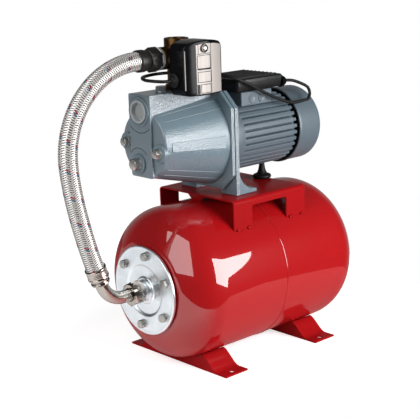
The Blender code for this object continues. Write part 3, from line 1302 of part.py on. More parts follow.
def cover_slots():
    """Radial air slots through the back of the fan cover, as one cutter."""
    slots = bmesh.new()
    middle = (SLOT_INNER + SLOT_OUTER) / 2
    for i in range(COVER_SLOTS):
        slot = bmesh.ops.create_cube(slots, size=1)["verts"]
        bmesh.ops.scale(slots, vec=(3 * COVER_WALL, SLOT_WIDTH, SLOT_OUTER - SLOT_INNER), verts=slot)
        spin = Matrix.Rotation(2 * pi * i / COVER_SLOTS, 4, "X") @ Matrix.Translation((0, 0, middle))
        bmesh.ops.transform(slots, matrix=Matrix.Translation(on_shaft(COVER_BACK)) @ spin, verts=slot)
    return from_bmesh("cover slots", slots)


def build_support():
    base = DECK_Z + SEAT
    top = SHAFT_Z - FIN_TIP - SEAT
    disc_top = base + SUPPORT_DISC_HEIGHT
    foot = rod("motor_support_foot", (SUPPORT_X, 0, base), (SUPPORT_X, 0, disc_top), SUPPORT_DISC)
    stem = rod("support stem", (SUPPORT_X, 0, disc_top - OVERLAP), (SUPPORT_X, 0, top),
               SUPPORT_STEM_FOOT, SUPPORT_STEM_TOP, sides=SMALL)
    make_part(join(foot, stem), "black rubber")


def build_terminal_box():
    half, wall = BOX_HALF_WIDTH, BOX_WALL
    tray = soften(box("terminal_box", (BOX_LOW_X, -half, BOX_Z), (BOX_HIGH_X, half, BOX_Z + BOX_HEIGHT)),
                  BOX_ROUNDING)
    thread = GLAND_THREAD + SEAT
    cut(tray, box("tray hollow", (BOX_LOW_X + wall, wall - half, BOX_Z + wall),
                  (BOX_HIGH_X - wall, half - wall, BOX_Z + BOX_HEIGHT + PAST)),
        rod("tray gland hole", (BOX_HIGH_X - wall - PAST, BOX_GLAND_Y, BOX_GLAND_Z),
            (BOX_HIGH_X + PAST, BOX_GLAND_Y, BOX_GLAND_Z), thread, sides=SMALL))
    make_part(tray, "black plastic")
    lid = soften(box("terminal_box_lid", (BOX_LOW_X, -half, LID_Z), (BOX_HIGH_X, half, LID_Z + LID_HEIGHT)),
                 BOX_ROUNDING)
    cut(lid, box("lid hollow", (BOX_LOW_X + wall, wall - half, LID_Z - PAST),
                 (BOX_HIGH_X - wall, half - wall, LID_Z + LID_HEIGHT - wall)))
    make_part(lid, "black plastic")
    middle = (BOX_LOW_X + BOX_HIGH_X) / 2
    z = BOX_Z + wall + SEAT + CAPACITOR_RADIUS
    capacitor = rod("capacitor", (middle - CAPACITOR_LENGTH / 2, 0, z), (middle + CAPACITOR_LENGTH / 2, 0, z),
                    CAPACITOR_RADIUS)
    make_part(capacitor, "white plastic")
    start, end = BOX_HIGH_X + SEAT, BOX_HIGH_X + SEAT + GLAND_LENGTH
    thread_end = BOX_HIGH_X - wall - CLEARANCE
    cable, cable_end = CABLE_RADIUS + SEAT, end - CABLE_INSERT
    gland = lathe("box_gland", [
        (thread_end, 0), (thread_end, GLAND_THREAD), (start, GLAND_THREAD), (start, GLAND_RADIUS),
        (start + GLAND_BARREL, GLAND_RADIUS), (end, GLAND_NOSE), (end, cable), (cable_end, cable),
        (cable_end, 0)], (0, BOX_GLAND_Y, BOX_GLAND_Z), steps=SMALL)
    make_part(gland, "black plastic")


def build_fitting():
    up, out, near = Vector((0, 0, 1)), Vector((-1, 0, 0)), Vector((0, -1, 0))
    foot = Vector((OUTLET_X, 0, FITTING_FOOT))
    top = foot + up * FITTING_HEIGHT
    port = foot + up * HOSE_PORT_HEIGHT
    switch = foot + up * SWITCH_PORT_HEIGHT
    thread_foot = foot - up * (FITTING_FOOT - CASING_TOP + FITTING_GRIP)
    thread_end = port + out * (HOSE_PORT_REACH + HOSE_PORT_GRIP)
    fitting = rod("five_way_fitting", foot + up * FITTING_HEX / 2, top - up * PAST, FITTING_BODY)
    join(
        fitting,
        rod("fitting thread", thread_foot, foot + up * PAST, FITTING_THREAD),
        hex_bar("fitting hexagon", foot, foot + up * FITTING_HEX, FITTING_HEX_FLATS),
        rod("fitting collar", top - up * FITTING_COLLAR_HEIGHT, top, FITTING_COLLAR),
        rod("hose port", port + out * (FITTING_BODY - PAST), port + out * HOSE_PORT_REACH, HOSE_PORT_RADIUS),
        rod("hose thread", port + out * PAST, thread_end, HOSE_PORT_THREAD),
        rod("switch port", switch - near * PAST, switch + near * SWITCH_PORT_REACH, SWITCH_PORT_RADIUS,
            sides=SMALL),
        rod("rear boss", switch + near * 2 * PAST, switch - near * REAR_BOSS_REACH, REAR_BOSS_RADIUS,
            sides=SMALL),
    )
    cut(
        fitting,
        rod("fitting bore", thread_foot - up * PAST, top - up * PAST, FITTING_BORE, sides=FIXING),
        rod("fitting socket", top - up * FITTING_SOCKET_DEPTH, top + up * PAST, FITTING_SOCKET),
        rod("hose port bore", port, thread_end + out * PAST, FITTING_BORE - CLEARANCE, sides=FIXING),
        rod("switch port bore", switch, switch + near * (SWITCH_PORT_REACH + PAST), SWITCH_PORT_BORE,
            sides=FIXING),
    )
    make_part(fitting, "brass")


def switch_outline(margin):
    return rounded_rectangle((SWITCH_LOW_X + margin, SWITCH_FOOT + margin),
                             (SWITCH_HIGH_X - margin, SWITCH_HEAD - margin), SWITCH_ROUNDING - margin / 2)


def build_switch():
    neck = -SWITCH_PORT_REACH - SEAT
    base = plate("switch_base", switch_outline(PLATE_MARGIN), PLATE_FRONT, CHAMBER_FRONT, "XZ")
    ears = []
    for side in (-1, 1):
        inner = SWITCH_X + side * (LEVER_HALF_WIDTH + SEAT)
        outer = inner + side * EAR_WIDTH
        ears.append(box(f"lever ear {side}",
                        (min(inner, outer), LEVER_Y - 2 * LEVER_KNUCKLE, LEVER_Z - EAR_HALF_HEIGHT),
                        (max(inner, outer), PLATE_FRONT + OVERLAP, LEVER_Z + EAR_HALF_HEIGHT)))
    join(base, rod("pressure chamber", (OUTLET_X, CHAMBER_FRONT - OVERLAP, SWITCH_Z),
                   (OUTLET_X, CHAMBER_FRONT + CHAMBER_DEPTH, SWITCH_Z), CHAMBER_RADIUS),
         hex_bar("chamber neck", (OUTLET_X, CHAMBER_FRONT, SWITCH_Z), (OUTLET_X, neck, SWITCH_Z),
                 2 * SWITCH_PORT_RADIUS), *ears)
    make_part(base, "zinc plate")

    lever = lathe("switch_lever", [(-LEVER_HALF_WIDTH, 0), (-LEVER_HALF_WIDTH, LEVER_KNUCKLE),
                                   (LEVER_HALF_WIDTH, LEVER_KNUCKLE), (LEVER_HALF_WIDTH, 0)],
                  (SWITCH_X, LEVER_Y, LEVER_Z), steps=SMALL)
    half, sheet = LEVER_HALF_WIDTH - LEVER_SHOULDER, LEVER_SHEET / 2
    arm = box("lever sheet", (SWITCH_X - half, LEVER_Y - sheet, LEVER_Z),
              (SWITCH_X + half, LEVER_Y + sheet, LEVER_Z + LEVER_LENGTH))
    make_part(join(lever, arm), "steel")

    sphere = (SWITCH_WIDTH ** 2 / 4 + SWITCH_BULGE ** 2) / (2 * SWITCH_BULGE)
    crown = SWITCH_FRONT - SWITCH_BULGE
    cover = plate("switch_cover", switch_outline(0), crown - PAST, SWITCH_BACK, "XZ")
    bulge = rod("cover crown", (SWITCH_X, crown + sphere, SWITCH_FOOT - PAST),
                (SWITCH_X, crown + sphere, SWITCH_HEAD + PAST), sphere, sides=2 * FINE)
    combine(cover, "INTERSECT", [bulge])
    nut_z = SWITCH_HEAD - COVER_NUT_DROP
    nut_face = crown + sphere - sqrt(sphere ** 2 - (COVER_NUT_X - SWITCH_X) ** 2)
    nut_seat = nut_face - CLEARANCE + COVER_NUT_RECESS
    gland_y, gland_z = SWITCH_GLAND_Y, SWITCH_GLAND_Z
    cut(cover, plate("cover hollow", switch_outline(SWITCH_WALL), SWITCH_FRONT + SWITCH_WALL,
                     SWITCH_BACK + PAST, "XZ"),
        rod("cover stud hole", (COVER_NUT_X, crown - PAST, nut_z), (COVER_NUT_X, SWITCH_BACK, nut_z),
            COVER_STUD + SEAT, sides=SMALL),
        rod("cover nut seat", (COVER_NUT_X, crown - PAST, nut_z), (COVER_NUT_X, nut_seat, nut_z),
            COVER_NUT_RADIUS + CLEARANCE, sides=SMALL),
        rod("cover gland hole", (SWITCH_LOW_X - PAST, gland_y, gland_z),
            (SWITCH_LOW_X + SWITCH_WALL + PAST, gland_y, gland_z), SWITCH_GLAND_THREAD + SEAT, sides=SMALL))
    make_part(cover, "black plastic")
    seat = nut_seat - SEAT
    nut = rod("cover_nut", (COVER_NUT_X, seat, nut_z), (COVER_NUT_X, seat - COVER_NUT_LENGTH, nut_z),
              COVER_NUT_RADIUS, sides=SMALL)
    stud = rod("cover stud", (COVER_NUT_X, seat - OVERLAP, nut_z),
               (COVER_NUT_X, seat + COVER_STUD_LENGTH, nut_z), COVER_STUD, sides=SMALL)
    make_part(join(nut, stud), "nickel")

    inside = -SWITCH_WALL - CLEARANCE
    cable, cable_end = CABLE_RADIUS + SEAT, SWITCH_GLAND_LENGTH - CABLE_INSERT
    gland = lathe("switch_gland", [
        (inside, 0), (inside, SWITCH_GLAND_THREAD), (SEAT, SWITCH_GLAND_THREAD), (SEAT, SWITCH_GLAND_RADIUS),
        (SWITCH_GLAND_BARREL, SWITCH_GLAND_RADIUS), (SWITCH_GLAND_LENGTH, SWITCH_GLAND_NOSE),
        (SWITCH_GLAND_LENGTH, cable), (cable_end, cable), (cable_end, 0)],
        (SWITCH_LOW_X, gland_y, gland_z), "-X", SMALL)
    make_part(gland, "black rubber")


def swivel_nut(name, seat, center_z, flats):
    """A hexagon nut that pulls a hose tail's collar on to the thread whose end is at seat."""
    collar = seat - SEAT - TAIL_COLLAR
    start, end = seat + NUT_WALL_LENGTH - NUT_LIP, collar - SEAT - NUT_LIP
    nut = hex_bar(name, (start, 0, center_z), (end, 0, center_z), flats, pi / 6)
    return nut, collar - SEAT, end, start


def build_hose_ends():
    for name, seat, z, flats, thread in (
        ("hose_top_nut", HOSE_THREAD_END, HOSE_PORT_Z, TOP_NUT_FLATS, HOSE_PORT_THREAD),
        ("elbow_nut", NIPPLE_END, TANK_Z, ELBOW_NUT_FLATS, NIPPLE_RADIUS),
    ):
        nut, lip, end, start = swivel_nut(name, seat, z, flats)
        cut(nut, rod(f"{name} thread", (start + PAST, 0, z), (lip, 0, z), thread + RUNNING),
            rod(f"{name} mouth", (start + PAST, 0, z), (end - PAST, 0, z), TAIL_RADIUS + SEAT))
        make_part(nut, "nickel")

    collar = HOSE_PORT_THREAD - SEAT
    sleeve = HOSE_RADIUS + RUNNING
    shell = sleeve + FERRULE_WALL
    bottom = TAIL_LENGTH + FERRULE_END
    rim = shell - FERRULE_CHAMFER
    top = lathe("hose_top_ferrule", [
        (0, TAIL_BORE), (0, collar), (TAIL_COLLAR, collar), (TAIL_COLLAR, TAIL_RADIUS),
        (TAIL_LENGTH, TAIL_RADIUS), (TAIL_LENGTH, rim), (TAIL_LENGTH + FERRULE_CHAMFER, shell),
        (bottom + FERRULE_SLEEVE, shell), (bottom + FERRULE_SLEEVE, sleeve), (bottom, sleeve),
        (bottom, TAIL_BORE)],
        (TOP_TAIL_X, 0, HOSE_PORT_Z), "-X")
    make_part(top, "nickel")

    socket = TAIL_RADIUS + SEAT
    lean = (0, ELBOW_ANGLE - pi / 2, 0)
    lower = lathe("hose_bottom_ferrule", [
        (-BEAD_BACK, socket), (-BEAD_BACK, socket + BEAD_LOW), (-BEAD_CREST, socket + BEAD_HIGH),
        (-BEAD_FRONT, socket + BEAD_LOW), (0, rim), (FERRULE_CHAMFER, shell),
        (FERRULE_END + FERRULE_SLEEVE, shell), (FERRULE_END + FERRULE_SLEEVE, sleeve), (FERRULE_END, sleeve),
        (FERRULE_END, TAIL_BORE), (SEAT, TAIL_BORE), (SEAT, socket)], ELBOW_END, rotation=lean)
    make_part(lower, "nickel")

    start = Vector((ELBOW_START, 0, TANK_Z))
    bend = arc((ELBOW_ARC_X, TANK_Z + ELBOW_BEND), ELBOW_BEND, -pi / 2, -pi / 2 - ELBOW_ANGLE, ELBOW_STEPS)
    path = [start] + [Vector((x, 0, z)) for x, z in bend] + [ELBOW_END]
    elbow = tube("elbow_tube", path, TAIL_RADIUS)
    flare = rod("elbow collar", start, start - Vector((TAIL_COLLAR, 0, 0)), NIPPLE_RADIUS - SEAT)
    inner = [start + Vector((PAST, 0, 0))] + path[1:-1] + [ELBOW_END + ELBOW_DIRECTION * PAST]
    make_part(cut(join(elbow, flare), tube("elbow bore", inner, TAIL_BORE, 1)), "nickel")


def build_hose():
    up, out = Vector((0, 0, 1)), Vector((-1, 0, 0))
    top = HOSE_TOP + out * FERRULE_SLEEVE
    foot = HOSE_FOOT + ELBOW_DIRECTION * FERRULE_SLEEVE
    level_pull = out * HOSE_ROUNDNESS * (top.x - HOSE_APEX.x)
    apex_pull = up * HOSE_ROUNDNESS * (top.z - HOSE_APEX.z)
    lower_pull = ELBOW_DIRECTION * HOSE_LOWER_PULL
    upper = bezier(top, top + level_pull, HOSE_APEX + apex_pull, HOSE_APEX, HOSE_RINGS)
    lower = bezier(HOSE_APEX, HOSE_APEX - up * HOSE_LOWER_PULL, foot + lower_pull, foot, HOSE_RINGS)
    middle = upper + lower[1:]
    hose = tube("braided_hose", [HOSE_TOP] + middle + [HOSE_FOOT], HOSE_RADIUS)
    bore = [HOSE_TOP - out * PAST] + middle + [HOSE_FOOT - ELBOW_DIRECTION * PAST]
    make_part(cut(hose, tube("hose bore", bore, HOSE_BORE, 1)), "steel braid")


def build_cable():
    start = Vector((BOX_HIGH_X + GLAND_LENGTH - CABLE_INSERT + 2 * SEAT, BOX_GLAND_Y, BOX_GLAND_Z))
    end = Vector((SWITCH_LOW_X - SWITCH_GLAND_LENGTH + CABLE_INSERT - 2 * SEAT, SWITCH_GLAND_Y,
                  SWITCH_GLAND_Z))
    lead = Vector((CABLE_LEAD, 0, 0))
    path = smooth_path([start, start + lead] + CABLE_ROUTE + [end - lead, end], CABLE_STEP)
    make_part(tube("motor_cable", path, CABLE_RADIUS, 2), "black rubber")


build_tank()
build_membrane()
build_flange()
build_air_valve()
build_foot("front_foot", FOOT_HOSE_END)
build_foot("rear_foot", FOOT_MOTOR_END)
build_bracket()
build_casing()
build_plugs()
build_water_end()
build_lantern()
build_rotor()
build_housing()
build_fan_end()
build_support()
build_terminal_box()
build_fitting()
build_switch()
build_hose_ends()
build_hose()
build_cable()
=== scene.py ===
from math import asin, cos, pi, radians, sin, sqrt

import bmesh
import bpy
from mathutils import Matrix, Quaternion, Vector


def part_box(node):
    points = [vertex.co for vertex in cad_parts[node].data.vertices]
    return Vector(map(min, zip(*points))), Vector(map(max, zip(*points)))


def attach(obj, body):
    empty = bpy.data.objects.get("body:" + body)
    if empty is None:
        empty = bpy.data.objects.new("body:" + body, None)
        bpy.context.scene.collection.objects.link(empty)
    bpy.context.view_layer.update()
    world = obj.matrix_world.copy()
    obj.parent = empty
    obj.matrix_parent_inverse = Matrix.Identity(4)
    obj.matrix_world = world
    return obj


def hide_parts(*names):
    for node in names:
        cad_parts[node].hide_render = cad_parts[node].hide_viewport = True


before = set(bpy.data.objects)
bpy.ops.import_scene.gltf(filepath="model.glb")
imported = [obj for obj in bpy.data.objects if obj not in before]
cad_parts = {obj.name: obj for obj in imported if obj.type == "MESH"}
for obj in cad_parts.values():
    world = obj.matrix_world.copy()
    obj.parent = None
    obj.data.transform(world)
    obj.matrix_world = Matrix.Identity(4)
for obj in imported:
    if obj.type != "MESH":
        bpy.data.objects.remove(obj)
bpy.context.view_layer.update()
scene = bpy.context.scene

# Sizes below are millimetres from the middle of the tank, at floor height.
# The bracket's edge toward the hose ties them to the solids.
bracketEdge = -90
rowShift = Vector((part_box("pump_bracket")[0].x * 1000 - bracketEdge, 0, 0))
toHose, toMotor = (-1, 0, 0), (1, 0, 0)
toTop, toBack = (0, 0, 1), (0, 1, 0)


def place(point):
    return (Vector(point) + rowShift) * 0.001


def linear(hexText):
    parts = [int(hexText[i:i + 2], 16) / 255 for i in (0, 2, 4)]
    return [p / 12.92 if p <= 0.04045 else ((p + 0.055) / 1.055) ** 2.4 for p in parts] + [1.0]


def addNode(tree, kind, inputs=None, **settings):
    node = tree.nodes.new(kind)
    for key, value in settings.items():
        setattr(node, key, value)
    for key, value in (inputs or {}).items():
        if isinstance(value, bpy.types.NodeSocket):
            tree.links.new(value, node.inputs[key])
        else:
            node.inputs[key].default_value = value
    return node


def calc(tree, operation, *values):
    return addNode(tree, "ShaderNodeMath", dict(enumerate(values)), operation=operation).outputs[0]


def calcVector(tree, operation, one, two):
    second = "Scale" if operation == "SCALE" else 1
    node = addNode(tree, "ShaderNodeVectorMath", {0: one, second: two}, operation=operation)
    return node.outputs["Value" if operation in ("DOT_PRODUCT", "DISTANCE") else "Vector"]


def remap(tree, value, old, new):
    return addNode(tree, "ShaderNodeMapRange", {"Value": value, "From Min": old[0], "From Max": old[1],
                                                "To Min": new[0], "To Max": new[1]}).outputs[0]


def blend(tree, share, one, two, **settings):
    return addNode(tree, "ShaderNodeMix", {0: share, 6: one, 7: two}, data_type="RGBA",
                   **settings).outputs[2]


print("stage: camera, light and floor")

camera = {"azimuth": radians(-43.53), "elevation": radians(13.74), "distance": 2029.3,
          "target": (0, 0, 250), "roll": radians(-1.65), "lens": 96.07, "shift": (-0.0548, -0.0035)}
turn, tilt, roll = camera["azimuth"], camera["elevation"], camera["roll"]
back = Vector((sin(turn) * cos(tilt), -cos(turn) * cos(tilt), sin(tilt)))
right = Vector((cos(turn), sin(turn), 0))
up = back.cross(right)
lens = bpy.data.cameras.new("productCamera")
lens.lens = camera["lens"]
lens.shift_x, lens.shift_y = camera["shift"]
eye = bpy.data.objects.new("productCamera", lens)
scene.collection.objects.link(eye)
eyeSpot = place(Vector(camera["target"]) + back * camera["distance"])
eyeAxes = Matrix((right * cos(roll) + up * sin(roll), up * cos(roll) - right * sin(roll), back))
eye.matrix_world = Matrix.Translation(eyeSpot) @ eyeAxes.transposed().to_4x4()
scene.camera = eye
scene.view_settings.view_transform = "Standard"

# A dim studio, a little lighter behind the object, with a background that is white to the camera.
studio = {"backdrop": (0.35, 0.05), "fade": (-0.96, -0.5), "aim": (-40, 0, 250), "floorZ": -0.0003,
          "floor": "F0F0F0", "glow": (0.66, 1.0), "reach": (0.3, 0.62), "shineRedBounce": "EC9A9A",
          "shineGlow": (0.0, 0.42), "shineReach": (-0.08, -0.28)}
world = bpy.data.worlds.new("studio")
world.use_nodes = True
scene.world = world
tree = world.node_tree
tree.nodes.clear()
facing = calcVector(tree, "DOT_PRODUCT", addNode(tree, "ShaderNodeTexCoord").outputs["Generated"], back)
shade = remap(tree, facing, studio["fade"], studio["backdrop"])
lit = addNode(tree, "ShaderNodeBackground", {"Color": (1, 1, 1, 1), "Strength": shade})
seen = addNode(tree, "ShaderNodeBackground", {"Color": (1, 1, 1, 1), "Strength": 1.0})
ray = addNode(tree, "ShaderNodeLightPath")
sky = addNode(tree, "ShaderNodeMixShader", {0: ray.outputs["Is Camera Ray"], 1: lit.outputs[0],
                                            2: seen.outputs[0]})
addNode(tree, "ShaderNodeOutputWorld", {0: sky.outputs[0]})

# Azimuth counts from the near side of the tank toward its air valve.
softboxes = {
    "frontSoftbox": {"azimuth": 18, "elevation": 12, "distance": 1450, "size": (1000, 900), "turn": -18,
                     "power": 29},
    "leftSoftbox": {"azimuth": -86, "elevation": 28, "distance": 1500, "size": (1100, 1400), "turn": 10,
                    "power": 16},
}
for name, box in softboxes.items():
    data = bpy.data.lights.new(name, "AREA")
    data.shape = "RECTANGLE"
    data.size, data.size_y = box["size"][0] * 0.001, box["size"][1] * 0.001
    data.energy = box["power"]
    lamp = bpy.data.objects.new(name, data)
    az, el = radians(box["azimuth"]), radians(box["elevation"])
    aim = Vector((sin(az) * cos(el), -cos(az) * cos(el), sin(el)))
    lamp.location = place(Vector(studio["aim"]) + aim * box["distance"])
    lamp.rotation_mode = "QUATERNION"
    lamp.rotation_quaternion = aim.to_track_quat("Z", "Y") @ Quaternion(toTop, radians(box["turn"]))
    scene.collection.objects.link(lamp)

# A white table whose near edge shows in the tank.
floorMesh = bpy.data.meshes.new("studioFloor")
table = [(-0.95, -0.06), (0.39, -0.53), (0.66, 0.3), (0.9, 4), (-2.4, 4)]
floorMesh.from_pydata([(x, y, studio["floorZ"]) for x, y in table], [], [range(len(table))])
floor = bpy.data.objects.new("studioFloor", floorMesh)
scene.collection.objects.link(floor)

print("stage: materials")


def surface(name, colour, other, mottle, rough, roughOther, metallic=0.0, coat=0.0, coatRough=0.04,
            grain=0.0, depth=0.0, cells=False, stretch=(1, 1, 1), specular=0.5, coatIor=1.5):
    material = bpy.data.materials.new(name)
    material.use_nodes = True
    tree = material.node_tree
    shader = tree.nodes["Principled BSDF"].inputs
    for key, value in (("Metallic", metallic), ("Specular IOR Level", specular), ("Coat Weight", coat),
                       ("Coat Roughness", coatRough), ("Coat IOR", coatIor)):
        shader[key].default_value = value
    spot = addNode(tree, "ShaderNodeTexCoord").outputs["Object"]
    where = addNode(tree, "ShaderNodeMapping", {"Vector": spot, "Scale": stretch}).outputs[0]
    noise = {"Vector": where, "Scale": 1000 / mottle, "Detail": 3.0}
    cloud = addNode(tree, "ShaderNodeTexNoise", noise).outputs[0]
    tree.links.new(blend(tree, cloud, linear(colour), linear(other)), shader["Base Color"])
    tree.links.new(remap(tree, cloud, (0.3, 0.7), (rough, roughOther)), shader["Roughness"])
    if grain:
        kind = "ShaderNodeTexVoronoi" if cells else "ShaderNodeTexNoise"
        relief = addNode(tree, kind, {"Vector": where, "Scale": 1000 / grain})
        if cells:
            relief.feature = "SMOOTH_F1"
            relief.inputs["Smoothness"].default_value = 0.7
        height = {"Height": relief.outputs[0], "Distance": depth * 0.001}
        bump = addNode(tree, "ShaderNodeBump", height).outputs[0]
        tree.links.new(bump, shader["Normal"])
        tree.links.new(bump, shader["Coat Normal"])
    return material


# Rolled paper: white and matt. It glows to the camera, less near the object, so that the shadow stays.
# In reflections alone it glows toward the left and turns red toward the right: painted reflections.
paper = surface("paperFloor", studio["floor"], "EEEEEE", 900, 0.9, 0.95)
tree = paper.node_tree
ray = addNode(tree, "ShaderNodeLightPath").outputs
spot = addNode(tree, "ShaderNodeTexCoord").outputs["Object"]
away = calcVector(tree, "DISTANCE", spot, place((*studio["aim"][:2], 0)))
along = addNode(tree, "ShaderNodeSeparateXYZ", {0: spot}).outputs["X"]


def inShine(values):
    return calc(tree, "MULTIPLY", ray["Is Glossy Ray"], remap(tree, along, studio["shineReach"], values))


glow = calc(tree, "MULTIPLY_ADD", ray["Is Camera Ray"], remap(tree, away, studio["reach"], studio["glow"]),
            inShine(studio["shineGlow"]))
shader = tree.nodes["Principled BSDF"].inputs
# Toward the right the shine turns red: a painted reflection of the tank's red light on the floor.
tone = blend(tree, inShine((1, 0)), linear(studio["floor"]), linear(studio["shineRedBounce"]))
tree.links.new(tone, shader["Base Color"])
shader["Emission Color"].default_value = (1, 1, 1, 1)
tree.links.new(glow, shader["Emission Strength"])
floorMesh.materials.append(paper)

# Stoved gloss enamel: deep red under a clear shine with a faint orange peel.
redEnamel = surface("stovedRedEnamel", "AB1317", "A51115", 160, 0.3, 0.34, coat=1.0, coatRough=0.02,
                    grain=14, depth=0.008, specular=0.05, coatIor=1.72)
# The same red dusted on pressed sheet: softer and less wet.
redSheet = surface("powderCoatedSheet", "A01216", "991014", 60, 0.34, 0.4, coat=0.1, coatRough=0.1,
                   grain=2.5, depth=0.02, specular=0.05)
# Hammer finish paint: shallow pools that break the highlight into speckles.
hammered = surface("hammerFinishPaint", "697C86", "72858F", 5, 0.3, 0.38, coat=0.75, coatRough=0.07,
                   grain=1.8, depth=0.42, cells=True, specular=0.15, coatIor=1.7)
# A lighter, shinier, deeper pooled copy of the hammer paint: painted highlight on flanks facing the front
# lamp.
litSideHammered = surface("hammerPaintOverRoughIron", "74818A", "7D8A93", 5, 0.3, 0.38, coat=1.0,
                        coatRough=0.07, grain=1.6, depth=0.8, cells=True, coatIor=1.9)
# Painted shade for the cast grooves: dark grey without shine, standing in for their shadow.
grooveShadePaint = surface("paintInGrooves", "38444C", "333E46", 9, 0.5, 0.6)
# Hammer paint on machined faces: it lies flat, without speckles.
flatPaint = surface("paintOverMachinedIron", "76848E", "7C8A93", 24, 0.3, 0.36, coat=0.4, coatRough=0.15,
                    grain=3, depth=0.03)
# Sprayed aluminium grey: even and satin.
motorPaint = surface("sprayedSatinPaint", "5F6C75", "59666F", 30, 0.36, 0.44, coat=0.25, coatRough=0.2,
                     grain=1.6, depth=0.05)
# Bright zinc plating: bluish and slightly cloudy.
zinc = surface("brightZincPlate", "F4F9FC", "E4ECF2", 14, 0.27, 0.38, metallic=1.0, grain=1.2, depth=0.02)
# Plated bolts: greyer, from handling and the spanner.
boltZinc = surface("handledZincPlate", "BFBEB8", "ABAAA5", 4, 0.3, 0.42, metallic=0.85)
# Polished nickel: a near mirror with a warm cast.
nickel = surface("polishedNickel", "B8B1A9", "ADA69F", 20, 0.1, 0.16, metallic=1.0)
# Machined stainless steel: grey, with a soft shine.
stainless = surface("machinedStainless", "CFCCC7", "BBB8B3", 6, 0.26, 0.36, metallic=1.0)
# Dark nickel: nearly black, with a clear shine.
darkNickel = surface("blackenedNickel", "4B4947", "3E3C3B", 12, 0.16, 0.24, metallic=1.0)
# Steel, nearly black and half matt.
darkSteel = surface("blackOxidedSteel", "332F2D", "2A2725", 9, 0.36, 0.46, metallic=0.35)
# Pale grey, half metallic: its brightness is a painted reflection of the lit studio on the plated ring.
ringZinc = surface("passivatedZincRing", "E6E6E4", "DADAD8", 8, 0.3, 0.36, metallic=0.5)
# Cast and turned brass: dull brown.
brass = surface("castBrass", "5E4526", "47331E", 9, 0.26, 0.4, metallic=1.0, grain=1.4, depth=0.06)
# Moulded plastic with a polished tool: black with a clean shine.
blackPlastic = surface("polishedBlackPlastic", "0B0C0E", "0E0F11", 40, 0.16, 0.2, grain=20, depth=0.02,
                       specular=0.14)
# Moulded plastic with a fine spark-eroded grain: black and satin.
boxPlastic = surface("grainedBlackPlastic", "0B0B0D", "0F1012", 8, 0.36, 0.44, grain=0.9, depth=0.03)
# Moulded rubber: dark, dull, a little dusty.
rubber = surface("mouldedRubber", "101010", "171717", 7, 0.45, 0.6, grain=1.1, depth=0.05, specular=0.25)
# Moulded polyethylene: pale grey and waxy.
greyPlastic = surface("mouldedGreyPlastic", "B3B8BB", "ABB0B4", 18, 0.4, 0.48, grain=1.5, depth=0.03)
# The same plastic in the recess, duller, and a shade darker as painted shade in the recess.
plugFace = surface("mouldedDarkPlastic", "A9ACAC", "9FA2A2", 18, 0.45, 0.52)
# A moulded plastic can: warm white and matt.
whitePlastic = surface("mouldedWhitePlastic", "D5D2C8", "CCC8BC", 12, 0.45, 0.5)
# Brushed aluminium foil with its grain upright: a soft, streaked silver.
silverFoil = surface("brushedSilverFoil", "B9B1AC", "ADA6A1", 6, 0.5, 0.6, metallic=0.35,
                     stretch=(1, 1, 0.06))
# Turned steel: faint streaks in a clear grey shine.
steel = surface("turnedSteel", "8E9194", "7E8184", 8, 0.3, 0.4, metallic=1.0, stretch=(0.1, 1, 1))
# Stacked sheet steel: dark, with fine lines across the stack.
laminated = surface("laminatedSteel", "5C5F63", "4B4E52", 2, 0.45, 0.6, metallic=1.0, stretch=(3, 0.2, 0.2))
# Enamelled copper wire: brown, with a varnished shine.
copper = surface("enamelledCopper", "8A4A2B", "7A3D22", 3, 0.3, 0.4, metallic=0.7)


# Drawn stainless wire in ribbons with painted shade toward their edges. Two ribbons carry a dyed thread.
def wireRibbon(name, colour, other, thread=None):
    material = surface(name, colour, other, 3, 0.3, 0.38, metallic=0.42)
    tree = material.node_tree
    across = addNode(tree, "ShaderNodeAttribute", attribute_name="across").outputs["Fac"]
    away = calc(tree, "ABSOLUTE", across)
    baseColour = tree.nodes["Principled BSDF"].inputs["Base Color"]
    tint = baseColour.links[0].from_socket
    if thread:
        tint = blend(tree, calc(tree, "LESS_THAN", away, 0.3), tint, linear(thread))
    # Painted shade toward the ribbon's edges.
    edge = remap(tree, away, (0.32, 0.5), (1.0, 0.36))
    tree.links.new(blend(tree, 1.0, tint, edge, blend_type="MULTIPLY"), baseColour)
    return material


braidSteel = wireRibbon("braidedStainlessWire", "FFFDFA", "F4F1ED")
# The left-hand ribbons take a darker copy of the same wire: painted shade, as they catch less light.
braidShade = wireRibbon("braidedStainlessWireAway", "D6D2CE", "CAC6C2")
redThread = wireRibbon("dyedRedThread", "FFFDFA", "F4F1ED", "A81C20")
blueThread = wireRibbon("dyedBlueThread", "FFFDFA", "F4F1ED", "2B6A95")

nodeLooks = {
    redEnamel: "tank_shell",
    redSheet: "front_foot rear_foot pump_bracket",
    hammered: "pump_casing",
    motorPaint: "motor_bracket motor_housing fan_cover",
    blackPlastic: "switch_cover air_valve_cap cooling_fan rear_end_shield box_gland",
    boxPlastic: "terminal_box terminal_box_lid diffuser",
    rubber: "motor_support_foot casing_oring switch_gland motor_cable tank_membrane",
    greyPlastic: "suction_plug",
    whitePlastic: "capacitor",
    zinc: "tank_flange switch_base",
    boltZinc: "flange_bolt_1 flange_bolt_2 flange_bolt_3 flange_bolt_4 flange_bolt_5 flange_bolt_6 "
              "casing_bolt_1 casing_bolt_2 casing_bolt_3 casing_bolt_4 bracket_bolt_1 bracket_bolt_2",
    nickel: "hose_top_nut hose_top_ferrule hose_bottom_ferrule elbow_tube elbow_nut drain_plug left_plug "
            "right_plug priming_plug cover_nut",
    brass: "five_way_fitting ejector_nozzle impeller air_valve",
    steel: "motor_shaft front_bearing rear_bearing seal_seat seal_ring switch_lever",
    laminated: "rotor_core",
    copper: "wound_stator",
    braidSteel: "braided_hose",
}
for look, names in nodeLooks.items():
    for name in names.split():
        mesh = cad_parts[name].data
        mesh.materials.clear()
        mesh.materials.append(look)

print("stage: shape helpers")


def basis(direction):
    forward = Vector(direction).normalized()
    side = forward.cross(Vector(toBack))
    if side.length < 0.1:
        side = forward.cross(Vector(toTop))
    side.normalize()
    return forward, side, forward.cross(side)


